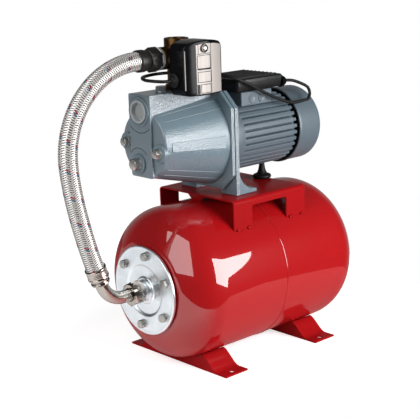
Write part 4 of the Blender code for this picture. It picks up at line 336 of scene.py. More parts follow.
def filleted(points, radius, steps=4, looped=False):
    points = [Vector(p) for p in points]
    smooth = []
    for i, point in enumerate(points):
        if not looped and i in (0, len(points) - 1):
            smooth.append(tuple(point))
            continue
        before, after = points[i - 1] - point, points[(i + 1) % len(points)] - point
        reach = min(radius, 0.48 * before.length, 0.48 * after.length)
        start, end = point + before.normalized() * reach, point + after.normalized() * reach
        for k in range(steps + 1):
            t = k / steps
            smooth.append(tuple(start * (1 - t) ** 2 + point * 2 * t * (1 - t) + end * t ** 2))
    return smooth


def roundedBox(lowA, lowB, highA, highB, radius, steps=6):
    corners = ((highA - radius, highB - radius), (lowA + radius, highB - radius),
               (lowA + radius, lowB + radius), (highA - radius, lowB + radius))
    outline = []
    for quarter, (a, b) in enumerate(corners):
        for k in range(steps + 1):
            angle = (quarter + k / steps) * pi / 2
            outline.append((a + radius * cos(angle), b + radius * sin(angle)))
    return outline


def turned(profile, origin, direction, steps=96, flats=None, spin=0.0, looped=False):
    forward, side, up = basis(direction)
    points, faces, rings = [], [], []
    for along, radius in profile:
        middle = Vector(origin) + forward * along
        first = len(points)
        if radius < 1e-6:
            points.append(middle)
            rings.append([first] * steps)
            continue
        for i in range(steps):
            angle = 2 * pi * i / steps
            reach = radius
            if flats:
                reach = min(radius, flats / 2 / cos((angle - spin + pi / 6) % (pi / 3) - pi / 6))
            points.append(middle + (side * cos(angle) + up * sin(angle)) * reach)
        rings.append(list(range(first, first + steps)))
    for one, two in zip(rings, rings[1:] + (rings[:1] if looped else [])):
        for i in range(steps):
            j = (i + 1) % steps
            face = [one[i], one[j], two[j], two[i]]
            face = [v for k, v in enumerate(face) if v not in face[:k]]
            if len(face) > 2:
                faces.append(face)
    return points, faces


planes = {"xy": lambda a, b, h: (a, b, h), "xz": lambda a, b, h: (a, h, b), "yz": lambda a, b, h: (h, a, b)}


def prism(outline, low, high, plane):
    count = len(outline)
    points = [Vector(planes[plane](a, b, h)) for h in (low, high) for a, b in outline]
    faces = [list(range(count)), list(range(count, 2 * count))]
    faces += [[i, (i + 1) % count, count + (i + 1) % count, count + i] for i in range(count)]
    return points, faces


def lofted(rings):
    count = len(rings[0])
    points = [Vector(p) for ring in rings for p in ring]
    faces = [list(range(count)), list(range(len(points) - count, len(points)))]
    for k in range(len(rings) - 1):
        a, b = k * count, (k + 1) * count
        faces += [[a + i, a + (i + 1) % count, b + (i + 1) % count, b + i] for i in range(count)]
    return points, faces


def swept(path, radius, sides):
    rings = []
    side = basis(path[1] - path[0])[1]
    for i, point in enumerate(path):
        ahead = (path[min(i + 1, len(path) - 1)] - path[max(i - 1, 0)]).normalized()
        side = (side - ahead * side.dot(ahead)).normalized()
        up = ahead.cross(side)
        rings.append([point + (side * cos(2 * pi * k / sides) + up * sin(2 * pi * k / sides)) * radius
                      for k in range(sides)])
    return lofted(rings)


def brick(low, high):
    outline = [(low[0], low[1]), (high[0], low[1]), (high[0], high[1]), (low[0], high[1])]
    return prism(outline, low[2], high[2], "xy")


def smoothed(obj, sharp):
    obj.data.shade_smooth()
    obj.data.set_sharp_from_angle(angle=radians(sharp))
    return obj


def build(name, solids, material, sharp=35):
    points, faces = [], []
    for solidPoints, solidFaces in solids:
        first = len(points)
        points += [place(p) for p in solidPoints]
        faces += [[first + i for i in face] for face in solidFaces]
    mesh = bpy.data.meshes.new(name)
    mesh.from_pydata(points, [], faces)
    shape = bmesh.new()
    shape.from_mesh(mesh)
    bmesh.ops.recalc_face_normals(shape, faces=shape.faces)
    shape.to_mesh(mesh)
    shape.free()
    mesh.materials.append(material)
    obj = bpy.data.objects.new(name, mesh)
    scene.collection.objects.link(obj)
    return smoothed(obj, sharp)


def bake(obj):
    graph = bpy.context.evaluated_depsgraph_get()
    baked = bpy.data.meshes.new_from_object(obj.evaluated_get(graph), preserve_all_data_layers=True,
                                            depsgraph=graph)
    obj.modifiers.clear()
    old, obj.data = obj.data, baked
    bpy.data.meshes.remove(old)
    baked.name = obj.name
    return obj


def shaped(obj, *steps):
    for kind, settings in steps:
        modifier = obj.modifiers.new(kind.lower(), kind)
        for key, value in settings.items():
            setattr(modifier, key, value)
    return bake(obj)


def bevelled(obj, width, segments=3, angle=35):
    return shaped(obj, ("BEVEL", {"width": width * 0.001, "segments": segments, "limit_method": "ANGLE",
                                  "angle_limit": radians(angle)}),
                  ("WEIGHTED_NORMAL", {"keep_sharp": True}))


def evened(obj, sharp):
    return shaped(smoothed(obj, sharp), ("WEIGHTED_NORMAL", {"keep_sharp": True}))


def carved(obj, solids):
    ready = isinstance(solids, bpy.types.Object)
    cutter = solids if ready else build(obj.name + "Cutter", solids, redEnamel)
    shaped(obj, ("BOOLEAN", {"object": cutter, "operation": "DIFFERENCE", "solver": "EXACT"}))
    bpy.data.meshes.remove(cutter.data)
    return obj


def wear(obj, body, *nodes, slot):
    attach(obj, body)
    if nodes:
        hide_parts(*nodes)
    return obj


def made(name, solids, material, slot, *nodes, sharp=35, body="set"):
    return wear(build(name, solids, material, sharp), body, *nodes, slot=slot)


def lathed(name, profile, at, way, material, slot, *nodes, soft=0.0, softSteps=3, steps=96, looped=False,
           sharp=35, body="set"):
    outline = filleted(profile, soft, softSteps, looped) if soft else profile
    solid = turned(outline, at, way, steps, looped=looped)
    return made(name, [solid], material, slot, *nodes, sharp=sharp, body=body)


def nodeTree(name, **sockets):
    tree = bpy.data.node_groups.new(name, "GeometryNodeTree")
    for socket, kind in sockets.items():
        tree.interface.new_socket(socket, in_out="INPUT", socket_type="NodeSocket" + kind)
    tree.interface.new_socket("Geometry", in_out="OUTPUT", socket_type="NodeSocketGeometry")
    return tree, tree.nodes.new("NodeGroupInput").outputs


def geo(tree, kind, inputs=None, **settings):
    return addNode(tree, "GeometryNode" + kind, inputs, **settings).outputs[0]


def spreadTree():
    tree, given = nodeTree("spreadCopies", Geometry="Geometry", Count="Int", Turn="Float", Axis="Vector",
                           Pivot="Vector", Step="Vector", Material="Material")
    number = geo(tree, "InputIndex")
    points = geo(tree, "Points", {"Count": given["Count"]})
    copies = geo(tree, "InstanceOnPoints", {"Points": points, "Instance": given["Geometry"]})
    angle = calc(tree, "MULTIPLY", number, given["Turn"])
    spin = addNode(tree, "FunctionNodeAxisAngleToRotation",
                   {"Axis": given["Axis"], "Angle": angle}).outputs[0]
    spun = geo(tree, "RotateInstances", {"Instances": copies, "Rotation": spin,
                                         "Pivot Point": given["Pivot"], "Local Space": False})
    shift = calcVector(tree, "SCALE", given["Step"], number)
    moved = geo(tree, "TranslateInstances", {"Instances": spun, "Translation": shift, "Local Space": False})
    solid = geo(tree, "RealizeInstances", {"Geometry": moved})
    painted = geo(tree, "SetMaterial", {"Geometry": solid, "Material": given["Material"]})
    addNode(tree, "NodeGroupOutput", {"Geometry": painted})
    return tree


spreadCopies = spreadTree()


def giveInputs(obj, tree, values):
    modifier = obj.modifiers.new("nodes", "NODES")
    modifier.node_group = tree
    for item in tree.interface.items_tree:
        if item.in_out == "INPUT" and item.name in values:
            modifier[item.identifier] = values[item.name]
    return bake(obj)


def spread(obj, count, pivot=None, step=(0, 0, 0)):
    turn = 2 * pi / count if pivot else 0.0
    return giveInputs(obj, spreadCopies, {
        "Count": count, "Turn": turn, "Axis": Vector(toMotor), "Pivot": place(pivot or (0, 0, 0)),
        "Step": Vector(step) * 0.001, "Material": obj.data.materials[0]})


def smoothRoute(points, step):
    points = [Vector(p) for p in points]
    padded = [2 * points[0] - points[1]] + points + [2 * points[-1] - points[-2]]
    path = [points[0]]
    for p0, p1, p2, p3 in zip(padded, padded[1:], padded[2:], padded[3:]):
        pieces = max(1, round((p2 - p1).length / step))
        for i in range(1, pieces + 1):
            t = i / pieces
            path.append(0.5 * (2 * p1 + (p2 - p0) * t + (2 * p0 - 5 * p1 + 4 * p2 - p3) * t ** 2
                               + (3 * p1 - p0 - 3 * p2 + p3) * t ** 3))
    return path


def bezier(p0, p1, p2, p3, steps):
    shares = [i / steps for i in range(steps + 1)]
    return [p0 * (1 - t) ** 3 + 3 * p1 * t * (1 - t) ** 2 + 3 * p2 * t ** 2 * (1 - t) + p3 * t ** 3
            for t in shares]


def pathLength(path):
    return sum((b - a).length for a, b in zip(path, path[1:]))


def polyLine(name, path, radius):
    data = bpy.data.curves.new(name, "CURVE")
    data.dimensions = "3D"
    spline = data.splines.new("POLY")
    spline.points.add(len(path) - 1)
    for point, where in zip(spline.points, path):
        point.co = (*place(where), 1)
    data.bevel_depth = radius * 0.001
    data.bevel_resolution = 6
    data.use_fill_caps = radius > 0
    obj = bpy.data.objects.new(name, data)
    scene.collection.objects.link(obj)
    return obj


print("stage: cable")

cable = {"radius": 2.8, "step": 4, "route": [
    (92.6, -39, 473.8), (100.6, -39, 473.8), (116, -46, 472), (136.4, -56, 462), (141.8, -59, 455.3),
    (141.8, -61.5, 446.3), (136, -63.5, 439.4), (127.6, -64.5, 437.7), (92, -63, 437), (45, -62, 453),
    (-8, -61, 479), (-40, -53, 494), (-62, -26, 501), (-76, 8, 503), (-96, 36, 503), (-128, 46, 503),
    (-162, 36, 503), (-186, 13, 504), (-199, -11, 504), (-200, -32, 504), (-190, -44, 503),
    (-177.1, -45.6, 502.6), (-169.1, -45.6, 502.6)]}
cablePath = smoothRoute(cable["route"], cable["step"])
lead = polyLine("motorCable", cablePath, cable["radius"])
lead.data.materials.append(rubber)
wear(lead, "set", "motor_cable", slot="black_rubber")

print("stage: tank")

tank = {"radius": 135, "half": 140, "head": 80, "power": 2.3, "z": 146, "neckX": -206.5, "neckRadius": 48,
        "neckInside": 25, "seamWidth": 4.4, "seamHeight": 1.0, "seatGap": 0.3, "steps": 160}


def headCurve(last, steps):
    angles = [last * i / steps for i in range(1, steps + 1)]
    return [(tank["head"] * sin(a) ** (2 / tank["power"]), tank["radius"] * cos(a) ** (2 / tank["power"]))
            for a in angles]


neckDepth = -tank["neckX"] - tank["half"]
neckAngle = asin((neckDepth / tank["head"]) ** (tank["power"] / 2))
half, radius = tank["half"], tank["radius"]
seam = [(-0.5, 0), (-0.36, 0.6), (-0.14, 0.97), (0.14, 0.97), (0.36, 0.6), (0.5, 0)]
neckStart = tank["neckX"] + tank["neckInside"]
outside = [(neckStart, 0), (neckStart, tank["neckRadius"]), (tank["neckX"], tank["neckRadius"])]
outside += [(-half - depth, reach) for depth, reach in headCurve(neckAngle, 34)[::-1]]
outside += [(-half, radius)] + [(a * tank["seamWidth"], radius + b * tank["seamHeight"]) for a, b in seam]
outside += [(half, radius)] + [(half + depth, reach) for depth, reach in headCurve(pi / 2, 40)]
outside[-1] = (half + tank["head"], 0)
lathed("tankShell", outside, (0, 0, tank["z"]), toMotor, redEnamel, "red_enamel", "tank_shell",
       steps=tank["steps"], sharp=40)

# Feet: one pressed sheet each, a flat toe, an S-shaped rise and a saddle under the tank.
foot = {"reach": 127, "toe": 22, "toeHeight": 3, "sheet": 2.5, "saddle": 66, "width": 51.6, "hole": 5,
        "steps": 72, "middles": {"front_foot": -122, "rear_foot": 103.5}}
seatRadius = tank["radius"] + tank["seatGap"]


def saddleHeight(y):
    return tank["z"] - sqrt(seatRadius ** 2 - y * y)


def footTop(y):
    reach, toe = abs(y), foot["reach"] - foot["toe"]
    if reach <= foot["saddle"]:
        return saddleHeight(y)
    share = min(1.0, (toe - reach) / (toe - foot["saddle"]))
    rise = saddleHeight(foot["saddle"]) - foot["toeHeight"]
    return foot["toeHeight"] + rise * share * share * (3 - 2 * share) if share > 0 else foot["toeHeight"]


for node, middle in foot["middles"].items():
    toe = foot["reach"] - foot["toe"]
    across = [-toe + 2 * toe * i / foot["steps"] for i in range(foot["steps"] + 1)]
    top = [(y, footTop(y)) for y in across]
    outline = [(-foot["reach"], 0), (foot["reach"], 0), (foot["reach"], foot["toeHeight"])] + top[::-1]
    outline.append((-foot["reach"], foot["toeHeight"]))
    low, high = middle - foot["width"] / 2, middle + foot["width"] / 2
    piece = build("foot" + node[0].upper() + node[1:5], [prism(outline, low, high, "yz")], redSheet)
    hollow = [(-toe, -2), (toe, -2)] + [(y, max(z - foot["sheet"], 0.4)) for y, z in top[::-1]]
    carved(piece, [prism(hollow, low + foot["sheet"], high - foot["sheet"], "yz")])
    holes = [turned([(-3, 0), (-3, foot["hole"]), (9, foot["hole"]), (9, 0)],
                    (middle, side * (foot["reach"] - 0.6 * foot["toe"]), 0), toTop, 32) for side in (-1, 1)]
    carved(piece, holes)
    bevelled(piece, 0.8, 2, 50)
    wear(piece, "set", node, slot="red_enamel")

# Bracket: a bent sheet with two windows, cut to the tank and welded at the legs.
bracket = {"lowX": bracketEdge, "highX": 86, "half": 97, "top": 293, "sheet": 3, "bend": 7,
           "window": (-46.5, 38.5), "windowTop": 279, "tabTop": 22, "tabFoot": 10, "tabLow": 279.6}
half, top, sheet, bend = bracket["half"], bracket["top"], bracket["sheet"], bracket["bend"]


def bent(inset):
    reach = bend - inset
    quarter = [(cos(k * pi / 16) * reach, sin(k * pi / 16) * reach) for k in range(9)]
    right = [(half - bend + a, top - bend + b) for a, b in quarter]
    left = [(-a, b) for a, b in right[::-1]]
    return [(half - inset, tank["z"])] + right + left + [(inset - half, tank["z"])]


section = bent(0) + bent(sheet)[::-1]
deck = build("pumpBracket", [prism(section, bracket["lowX"], bracket["highX"], "yz")], redSheet)
windows = roundedBox(bracket["window"][0], tank["z"] - 40, bracket["window"][1], bracket["windowTop"], 4)
carved(deck, [prism(windows, -half - 5, half + 5, "xz")])
tankSeat = [(-120, 0), (-120, seatRadius), (120, seatRadius), (120, 0)]
carved(deck, [turned(tankSeat, (0, 0, tank["z"]), toMotor, 128)])
bevelled(deck, 0.7, 2, 40)
wear(deck, "set", "pump_bracket", slot="red_enamel")
tabs = []
for x in (bracket["lowX"] + 1, bracket["highX"] - 4):
    tab = [(-bracket["tabTop"], top - 2), (-bracket["tabFoot"], bracket["tabLow"]),
           (bracket["tabFoot"], bracket["tabLow"]), (bracket["tabTop"], top - 2)]
    tabs.append(prism(tab, x, x + sheet, "yz"))
wear(bevelled(build("bracketTabs", tabs, redSheet), 0.8, 2), "set", slot="red_enamel")

# Weld beads where the legs meet the tank.
welds = {"inset": 9, "radius": 3.2, "length": 13}
beads = []
legFoot = tank["z"] + sqrt(seatRadius ** 2 - (half - sheet / 2) ** 2)
for x in (bracket["lowX"] + welds["inset"], bracket["window"][0] - welds["inset"],
          bracket["window"][1] + welds["inset"], bracket["highX"] - welds["inset"]):
    for side in (-1, 1):
        root = Vector((x, side * half, legFoot))
        run = [Vector((x + (k - 4) / 8 * welds["length"], side * (half + 0.2), legFoot - 0.6))
               for k in range(9)]
        bead = swept(run, welds["radius"], 16)
        points = [p + (root - p) * (0.75 * (2 * abs(p.x - x) / welds["length"]) ** 4) for p in bead[0]]
        beads.append((points, bead[1]))
made("bracketWelds", beads, redSheet, "red_enamel", sharp=60)

print("stage: tank flange")

flange = {"back": -209.6, "plate": 5, "radius": 78, "lip": 0.4, "dish": 42, "nipple": 16.5, "bolts": 6,
          "circle": 62, "spin": radians(37.5), "flats": 13, "head": 6, "washer": (0.8, 7.4)}
front = flange["plate"]
profile = [(0, 10), (0, flange["radius"] - 1.2), (1.2, flange["radius"]),
           (front + flange["lip"], flange["radius"]), (front + flange["lip"], flange["radius"] - 4),
           (front, flange["radius"] - 6), (front, flange["dish"] + 4), (2.2, flange["dish"]), (2.2, 24),
           (4, 22), (4, 18.5), (6.5, flange["nipple"]), (27, flange["nipple"]),
           (28, flange["nipple"] - 1), (28, 10)]
lathed("tankFlange", profile, (flange["back"], 0, tank["z"]), toHose, zinc, "zinc_plate", "tank_flange",
       soft=1.6, softSteps=4, steps=144, looped=True, sharp=50)


def hexHead(at, direction, flats, height, washer=0.0, washerRadius=0.0):
    solids = []
    corner = flats / 2 / cos(pi / 6)
    if washer:
        disc = filleted([(0, 0), (0, washerRadius), (washer, washerRadius), (washer, 0)], 0.5, 2)
        solids.append(turned(disc, at, direction, 48))
    cap = [(washer, 0), (washer, corner), (washer + height * 0.86, corner + 0.3),
           (washer + height * 0.97, flats * 0.515), (washer + height, flats * 0.48), (washer + height, 0)]
    solids.append(turned(cap, at, direction, 72, flats))
    return solids


boltAt = (flange["back"] - flange["plate"] - 0.1, flange["circle"] * cos(flange["spin"]),
          tank["z"] + flange["circle"] * sin(flange["spin"]))
bolt = hexHead(boltAt, toHose, flange["flats"], flange["head"], *flange["washer"])
bolts = build("flangeBolts", bolt, boltZinc, 28)
spread(bolts, flange["bolts"], (0, 0, tank["z"]))
wear(bolts, "set", *["flange_bolt_%d" % i for i in range(1, 7)], slot="zinc_plate")

print("stage: elbow and hose")

# The hose leaves the fitting's threaded socket at this height.
hoseZ = 534.6
socketX = -159.6
ferruleX = -177.3
nuts = {"elbow_nut": {"start": -223.6, "end": -246.7, "z": tank["z"], "flats": 38, "bore": 11.4},
        "hose_top_nut": {"start": -163, "end": -186.1, "z": hoseZ, "flats": 36, "bore": 11.4}}
for node, nut in nuts.items():
    length, corner = nut["start"] - nut["end"], nut["flats"] / 2 / cos(pi / 6)
    profile = [(0, nut["bore"] + 5), (0, nut["flats"] * 0.475), (0.8, nut["flats"] * 0.5), (3.2, corner),
               (length - 3.6, corner), (length - 0.9, nut["flats"] * 0.49), (length, nut["flats"] * 0.45),
               (length, nut["bore"] + 0.6), (length - 5, nut["bore"])]
    body = turned(profile, (nut["start"], 0, nut["z"]), toHose, 96, nut["flats"], pi / 6, True)
    look = darkSteel if "top" in node else nickel
    made(node.replace("_nut", "Nut").replace("_top", "Top"), [body], look, "nickel", node, sharp=28)

elbow = {"start": -237.9, "straight": 22, "bend": 45, "angle": radians(70), "lead": 15, "radius": 11}
lean = Vector((-cos(elbow["angle"]), 0, sin(elbow["angle"])))
arcX = elbow["start"] - elbow["straight"]
run = [Vector((elbow["start"], 0, tank["z"])), Vector((arcX + 8, 0, tank["z"]))]
run += [Vector((arcX - elbow["bend"] * sin(a), 0, tank["z"] + elbow["bend"] * (1 - cos(a))))
        for a in [elbow["angle"] * k / 28 for k in range(29)]]
elbowEnd = run[-1] + lean * elbow["lead"]
run += [run[-1] + lean * 7, elbowEnd]
made("elbowTube", [swept(run, elbow["radius"], 64)], nickel, "nickel", "elbow_tube", sharp=40)

bottom = [(-10, 11.3), (-10, 13.6), (-9.2, 15.6), (-7, 16.6), (-4.8, 15.8), (-4, 13.8), (-2.6, 13.6),
          (-1, 15.5), (0.4, 17.1), (2, 18.2), (4.5, 18.3), (5.6, 17.4), (7, 17.2), (8.4, 17.8),
          (9.8, 17.2), (11.2, 17.8), (12.6, 17.2), (14, 17.8), (15.4, 17.3), (16.6, 18.1), (18.5, 18.4),
          (20.4, 18.2), (21, 17.5), (21, 16.5), (3, 16.5), (3, 11.3)]
lathed("hoseBottomFerrule", bottom, elbowEnd, lean, nickel, "nickel", "hose_bottom_ferrule", soft=0.7,
       looped=True, sharp=50)
topFerrule = [(-2, 8), (-2, 11), (10, 11), (10, 15.4), (10.8, 16.3), (12.4, 17.1), (16, 17.3), (17, 18.2),
              (19, 18.5), (27.6, 18.5), (29.4, 18.1), (30.2, 17.5), (31, 17.3), (31, 16.5), (14, 16.5),
              (14, 8)]
lathed("hoseTopFerrule", topFerrule, (ferruleX, 0, hoseZ), toHose, darkSteel, "nickel", "hose_top_ferrule",
       soft=0.6, looped=True, sharp=50)
ring = [(0, 12), (0, 18.4), (0.8, 19.2), (5.6, 19.2), (6.4, 18.4), (6.4, 12)]
lathed("hoseTopRing", ring, (socketX, 0, hoseZ), toHose, ringZinc, "nickel", looped=True, sharp=40)

hose = {"radius": 16, "apex": Vector((-354, 0, 392)), "roundness": 0.5523, "lowerPull": 50, "sleeve": 17,
        "strands": 12, "pitch": 44, "along": 900, "across": 5, "weave": 0.5, "crown": 0.35, "cover": 0.92,
        "skin": 0.05, "liner": 0.55, "topX": -191.6, "footLead": 4.3}
hoseTop = Vector((hose["topX"], 0, hoseZ))
hoseFoot = elbowEnd + lean * hose["footLead"]
out, upward = Vector(toHose), Vector(toTop)
upperStart, lowerEnd = hoseTop + out * hose["sleeve"], hoseFoot + lean * hose["sleeve"]
hosePath = [hoseTop, hoseTop + out * 8]
hosePath += bezier(upperStart, upperStart + out * hose["roundness"] * (upperStart.x - hose["apex"].x),
                   hose["apex"] + upward * hose["roundness"] * (upperStart.z - hose["apex"].z),
                   hose["apex"], 40)
hosePath += bezier(hose["apex"], hose["apex"] - upward * hose["lowerPull"],
                   lowerEnd + lean * hose["lowerPull"], lowerEnd, 40)[1:]
hosePath += [hoseFoot + lean * 8, hoseFoot]
lining = made("hoseLining", [swept(hosePath, hose["radius"] - hose["liner"], 40)], rubber, "black_rubber",
              "braided_hose", sharp=60)


def braidTree():
    tree, given = nodeTree("braidAlongHose", Path="Object", Strands="Int", Turns="Float", Way="Float",
                           Radius="Float", Cover="Float", Weave="Float", Crown="Float", Along="Int",
                           Across="Int", Wire="Material", FirstThread="Material", SecondThread="Material")

    def number(operation, *values):
        return calc(tree, operation, *values)

    def vector(operation, one, two):
        return calcVector(tree, operation, one, two)

    def kept(geometry, name, value, domain):
        return geo(tree, "StoreNamedAttribute", {"Geometry": geometry, "Name": name, "Value": value},
                   data_type="FLOAT", domain=domain)

    def stored(name):
        return geo(tree, "InputNamedAttribute", {"Name": name}, data_type="FLOAT")

    ribbon = geo(tree, "MeshGrid", {"Size X": 1.0, "Size Y": 1.0, "Vertices X": given["Across"],
                                    "Vertices Y": given["Along"]})
    points = geo(tree, "Points", {"Count": given["Strands"]})
    copies = geo(tree, "InstanceOnPoints", {"Points": points, "Instance": ribbon})
    tagged = kept(copies, "strand", geo(tree, "InputIndex"), "INSTANCE")
    real = geo(tree, "RealizeInstances", {"Geometry": tagged})
    flat = addNode(tree, "ShaderNodeSeparateXYZ", {0: geo(tree, "InputPosition")}).outputs
    ribbons = kept(kept(real, "across", flat[0], "POINT"), "along", number("ADD", flat[1], 0.5), "POINT")
    strand, across, along = stored("strand"), stored("across"), stored("along")
    line = addNode(tree, "GeometryNodeObjectInfo", {"Object": given["Path"]})
    spot = addNode(tree, "GeometryNodeSampleCurve", {"Curves": line.outputs["Geometry"], "Factor": along},
                   mode="FACTOR", use_all_curves=True).outputs
    binormal = vector("CROSS_PRODUCT", spot["Tangent"], spot["Normal"])
    start = number("DIVIDE", strand, given["Strands"])
    wound = number("MULTIPLY", number("MULTIPLY", given["Turns"], given["Way"]), along)
    width = number("DIVIDE", number("MULTIPLY", across, given["Cover"]), given["Strands"])
    angle = number("MULTIPLY", number("ADD", number("ADD", start, wound), width), 2 * pi)
    # Each ribbon goes over two and under two of the other direction.
    crossing = number("MULTIPLY", wound, given["Strands"])
    phase = number("SUBTRACT", number("MULTIPLY", number("ADD", strand, crossing), pi), pi / 4)
    wave = number("MULTIPLY", number("MULTIPLY", number("COSINE", phase), given["Weave"]), given["Way"])
    hollow = number("MULTIPLY", number("MULTIPLY", across, across), 4.0)
    bow = number("MULTIPLY", number("SUBTRACT", 1.0, hollow), given["Crown"])
    reach = number("ADD", number("ADD", given["Radius"], wave), bow)
    outward = vector("ADD", vector("SCALE", spot["Normal"], number("COSINE", angle)),
                     vector("SCALE", binormal, number("SINE", angle)))
    target = vector("ADD", spot["Position"], vector("SCALE", outward, reach))
    laid = geo(tree, "SetPosition", {"Geometry": ribbons, "Position": target})
    painted = geo(tree, "SetMaterial", {"Geometry": laid, "Material": given["Wire"]})
    for index, thread in enumerate(("FirstThread", "SecondThread")):
        chosen = number("COMPARE", strand, float(index), 0.5)
        painted = geo(tree, "SetMaterial", {"Geometry": painted, "Material": given[thread],
                                            "Selection": chosen})
    addNode(tree, "NodeGroupOutput", {"Geometry": geo(tree, "SetShadeSmooth", {"Geometry": painted})})
    return tree


braidAlongHose = braidTree()
coreLine = polyLine("hoseLine", hosePath[2:-2], 0)
turns = pathLength(hosePath[2:-2]) / hose["pitch"]
for name, way, wire, first, second in (("braidRightHand", 1.0, braidSteel, braidSteel, braidSteel),
                                       ("braidLeftHand", -1.0, braidShade, redThread, blueThread)):
    braid = build(name, [brick((0, 0, 0), (1, 1, 1))], braidSteel)
    core = hose["radius"] - hose["weave"] - hose["crown"] - hose["skin"]
    giveInputs(braid, braidAlongHose, {
        "Path": coreLine, "Strands": hose["strands"], "Turns": turns, "Way": way, "Radius": core * 0.001,
        "Cover": hose["cover"], "Weave": hose["weave"] * 0.001, "Crown": hose["crown"] * 0.001,
        "Along": hose["along"], "Across": hose["across"], "Wire": wire, "FirstThread": first,
        "SecondThread": second})
    wear(braid, "set", slot="steel_braid")
    print(name, len(braid.data.polygons), "faces")
bpy.data.curves.remove(coreLine.data)

print("stage: pump casing")

shaftZ = 388
casing = {"front": -199, "mating": -58.5, "frontRadius": 56, "frontLift": 8, "rearWidth": 68,
          "rearHeight": 82, "rounding": 3, "flange": 7, "halfWidth": 71, "halfHeight": 85, "chamfer": 27,
          "slab": (-24.5, 30.5), "slabFace": -204, "slabFoot": 341, "top": 480, "port": (-206.5, 3, 452),
          "boss": 25, "bossRoot": -190, "drain": (9, 364), "drainBoss": 17,
          "sides": ((40.5, 398), (-40.5, 386)), "sideBoss": 16, "topBossFoot": 468,
          "topBosses": ((24, -120, 480.3), (14, -157, 480.2))}
coneEnd = casing["mating"] - casing["flange"] / 2


def coneAt(x, angle, inset=0.0):
    share = (x - casing["front"]) / (coneEnd - casing["front"])
    wide = casing["frontRadius"] + (casing["rearWidth"] - casing["frontRadius"]) * share - inset
    tall = casing["frontRadius"] + (casing["rearHeight"] - casing["frontRadius"]) * share - inset
    return Vector((x, wide * cos(angle), shaftZ + casing["frontLift"] * (1 - share) + tall * sin(angle)))


def jointOutline(halfWidth, low):
    top, chamfer = shaftZ + casing["halfHeight"], casing["chamfer"]
    upper = [(halfWidth, top - chamfer), (halfWidth - chamfer, top), (chamfer - halfWidth, top),
             (-halfWidth, top - chamfer)]
    if low is not None:
        return upper + [(-halfWidth, low), (halfWidth, low)]
    low = shaftZ - casing["halfHeight"]
    return upper + [(-halfWidth, low + chamfer), (chamfer - halfWidth, low), (halfWidth - chamfer, low),
                    (halfWidth, low + chamfer)]


def boss(radius, start, end, at, way=toMotor, soft=1.2):
    rim = filleted([(start, 0), (start, radius), (end, radius), (end, 0)], soft, 3)
    return build("boss", [turned(rim, at, way, 72)], hammered)


def merged(obj, others):
    for other in others:
        shaped(obj, ("BOOLEAN", {"object": other, "operation": "UNION", "solver": "EXACT"}))
        bpy.data.meshes.remove(other.data)
    return obj


rounding, root = casing["rounding"], casing["bossRoot"]
stations = [(casing["front"] + rounding * (1 - cos(k * pi / 12)), rounding * (1 - sin(k * pi / 12)))
            for k in range(7)]
stations += [(x, 0) for x in (-170, -130, -95, coneEnd)]
cone = [[coneAt(x, 2 * pi * k / 128, inset) for k in range(128)] for x, inset in stations]
pump = build("pumpCasing", [lofted(cone)], hammered)
near, far = casing["slab"]
slab = roundedBox(near, casing["slabFoot"], far, casing["top"], 5)
flangeFace, top = casing["mating"] - casing["flange"], casing["top"]
ridge = [(casing["slabFace"] + 0.3, shaftZ), (coneEnd, shaftZ), (flangeFace, top - 8),
         (flangeFace - 16, top - 0.1), (casing["slabFace"] + 0.3, top - 0.1)]
portX, portY, portZ = casing["port"]
joint = jointOutline(casing["halfWidth"], None)
raised = [bevelled(build("slab", [prism(slab, casing["slabFace"], root, "yz")], hammered), 1.2, 3),
          bevelled(build("block", [prism(ridge, near + 0.2, far - 0.2, "xz")], hammered), 1.0, 3),
          bevelled(build("joint", [prism(joint, flangeFace, casing["mating"], "yz")], hammered), 0.9, 3),
          boss(casing["boss"], portX, root, (0, portY, portZ)),
          boss(casing["drainBoss"], casing["slabFace"] - 3, root, (0, *casing["drain"]))]
raised += [boss(casing["sideBoss"], casing["front"] - 4, root, (0, *at)) for at in casing["sides"]]
raised += [boss(reach, casing["topBossFoot"], high, (x, 0, 0), toTop, 0.8)
           for reach, x, high in casing["topBosses"]]
merged(pump, raised)
chamber = [(-188, 0), (-188, 44), (casing["mating"], 60), (casing["mating"] + 4, 60),
           (casing["mating"] + 4, 0)]
suction = [(-212, 0), (-212, 20), (-203.5, 20), (-203.5, 16.6), (-174, 16.6), (-174, 0)]
carved(pump, [turned(chamber, (0, 0, shaftZ), toMotor, 64),
              turned(suction, (0, portY, portZ), toMotor, 64)])
evened(pump, 30)
pump.data.materials.append(flatPaint)
pump.data.materials.append(litSideHammered)
fronts = [place((casing[key], 0, 0)).x for key in ("slabFace", "front")]
flanks = (near, -casing["halfWidth"])
# Flat paint on the faces toward the hose; the lighter copy on the flanks as a painted highlight.
for face in pump.data.polygons:
    if face.normal.x < -0.98 and min(abs(face.center.x - x) for x in fronts) < 0.0003:
        face.material_index = 1
    elif face.normal.y < -0.6 and min(abs(face.center.y * 1000 - y) for y in flanks) < 1.2:
        face.material_index = 2
wear(pump, "set", "pump_casing", slot="hammered_grey")
print("casing", len(pump.data.polygons), "faces")

# A flat panel on the near side of the cone, tipped a little upward.
plate = {"x": (-187, -76), "angles": (172, 187), "proud": (0.9, 2.0), "deep": 4}
rings = []
for x in plate["x"]:
    upper, lower = (coneAt(x, radians(a)) for a in plate["angles"])
    offsets = [(upper, -plate["proud"][0]), (lower, -plate["proud"][1]), (lower, plate["deep"]),
               (upper, plate["deep"])]
    rings.append([point + Vector((0, y, 0)) for point, y in offsets])
wear(bevelled(build("castingPanel", [lofted(rings)], hammered), 0.5, 2), "set", slot="hammered_grey")

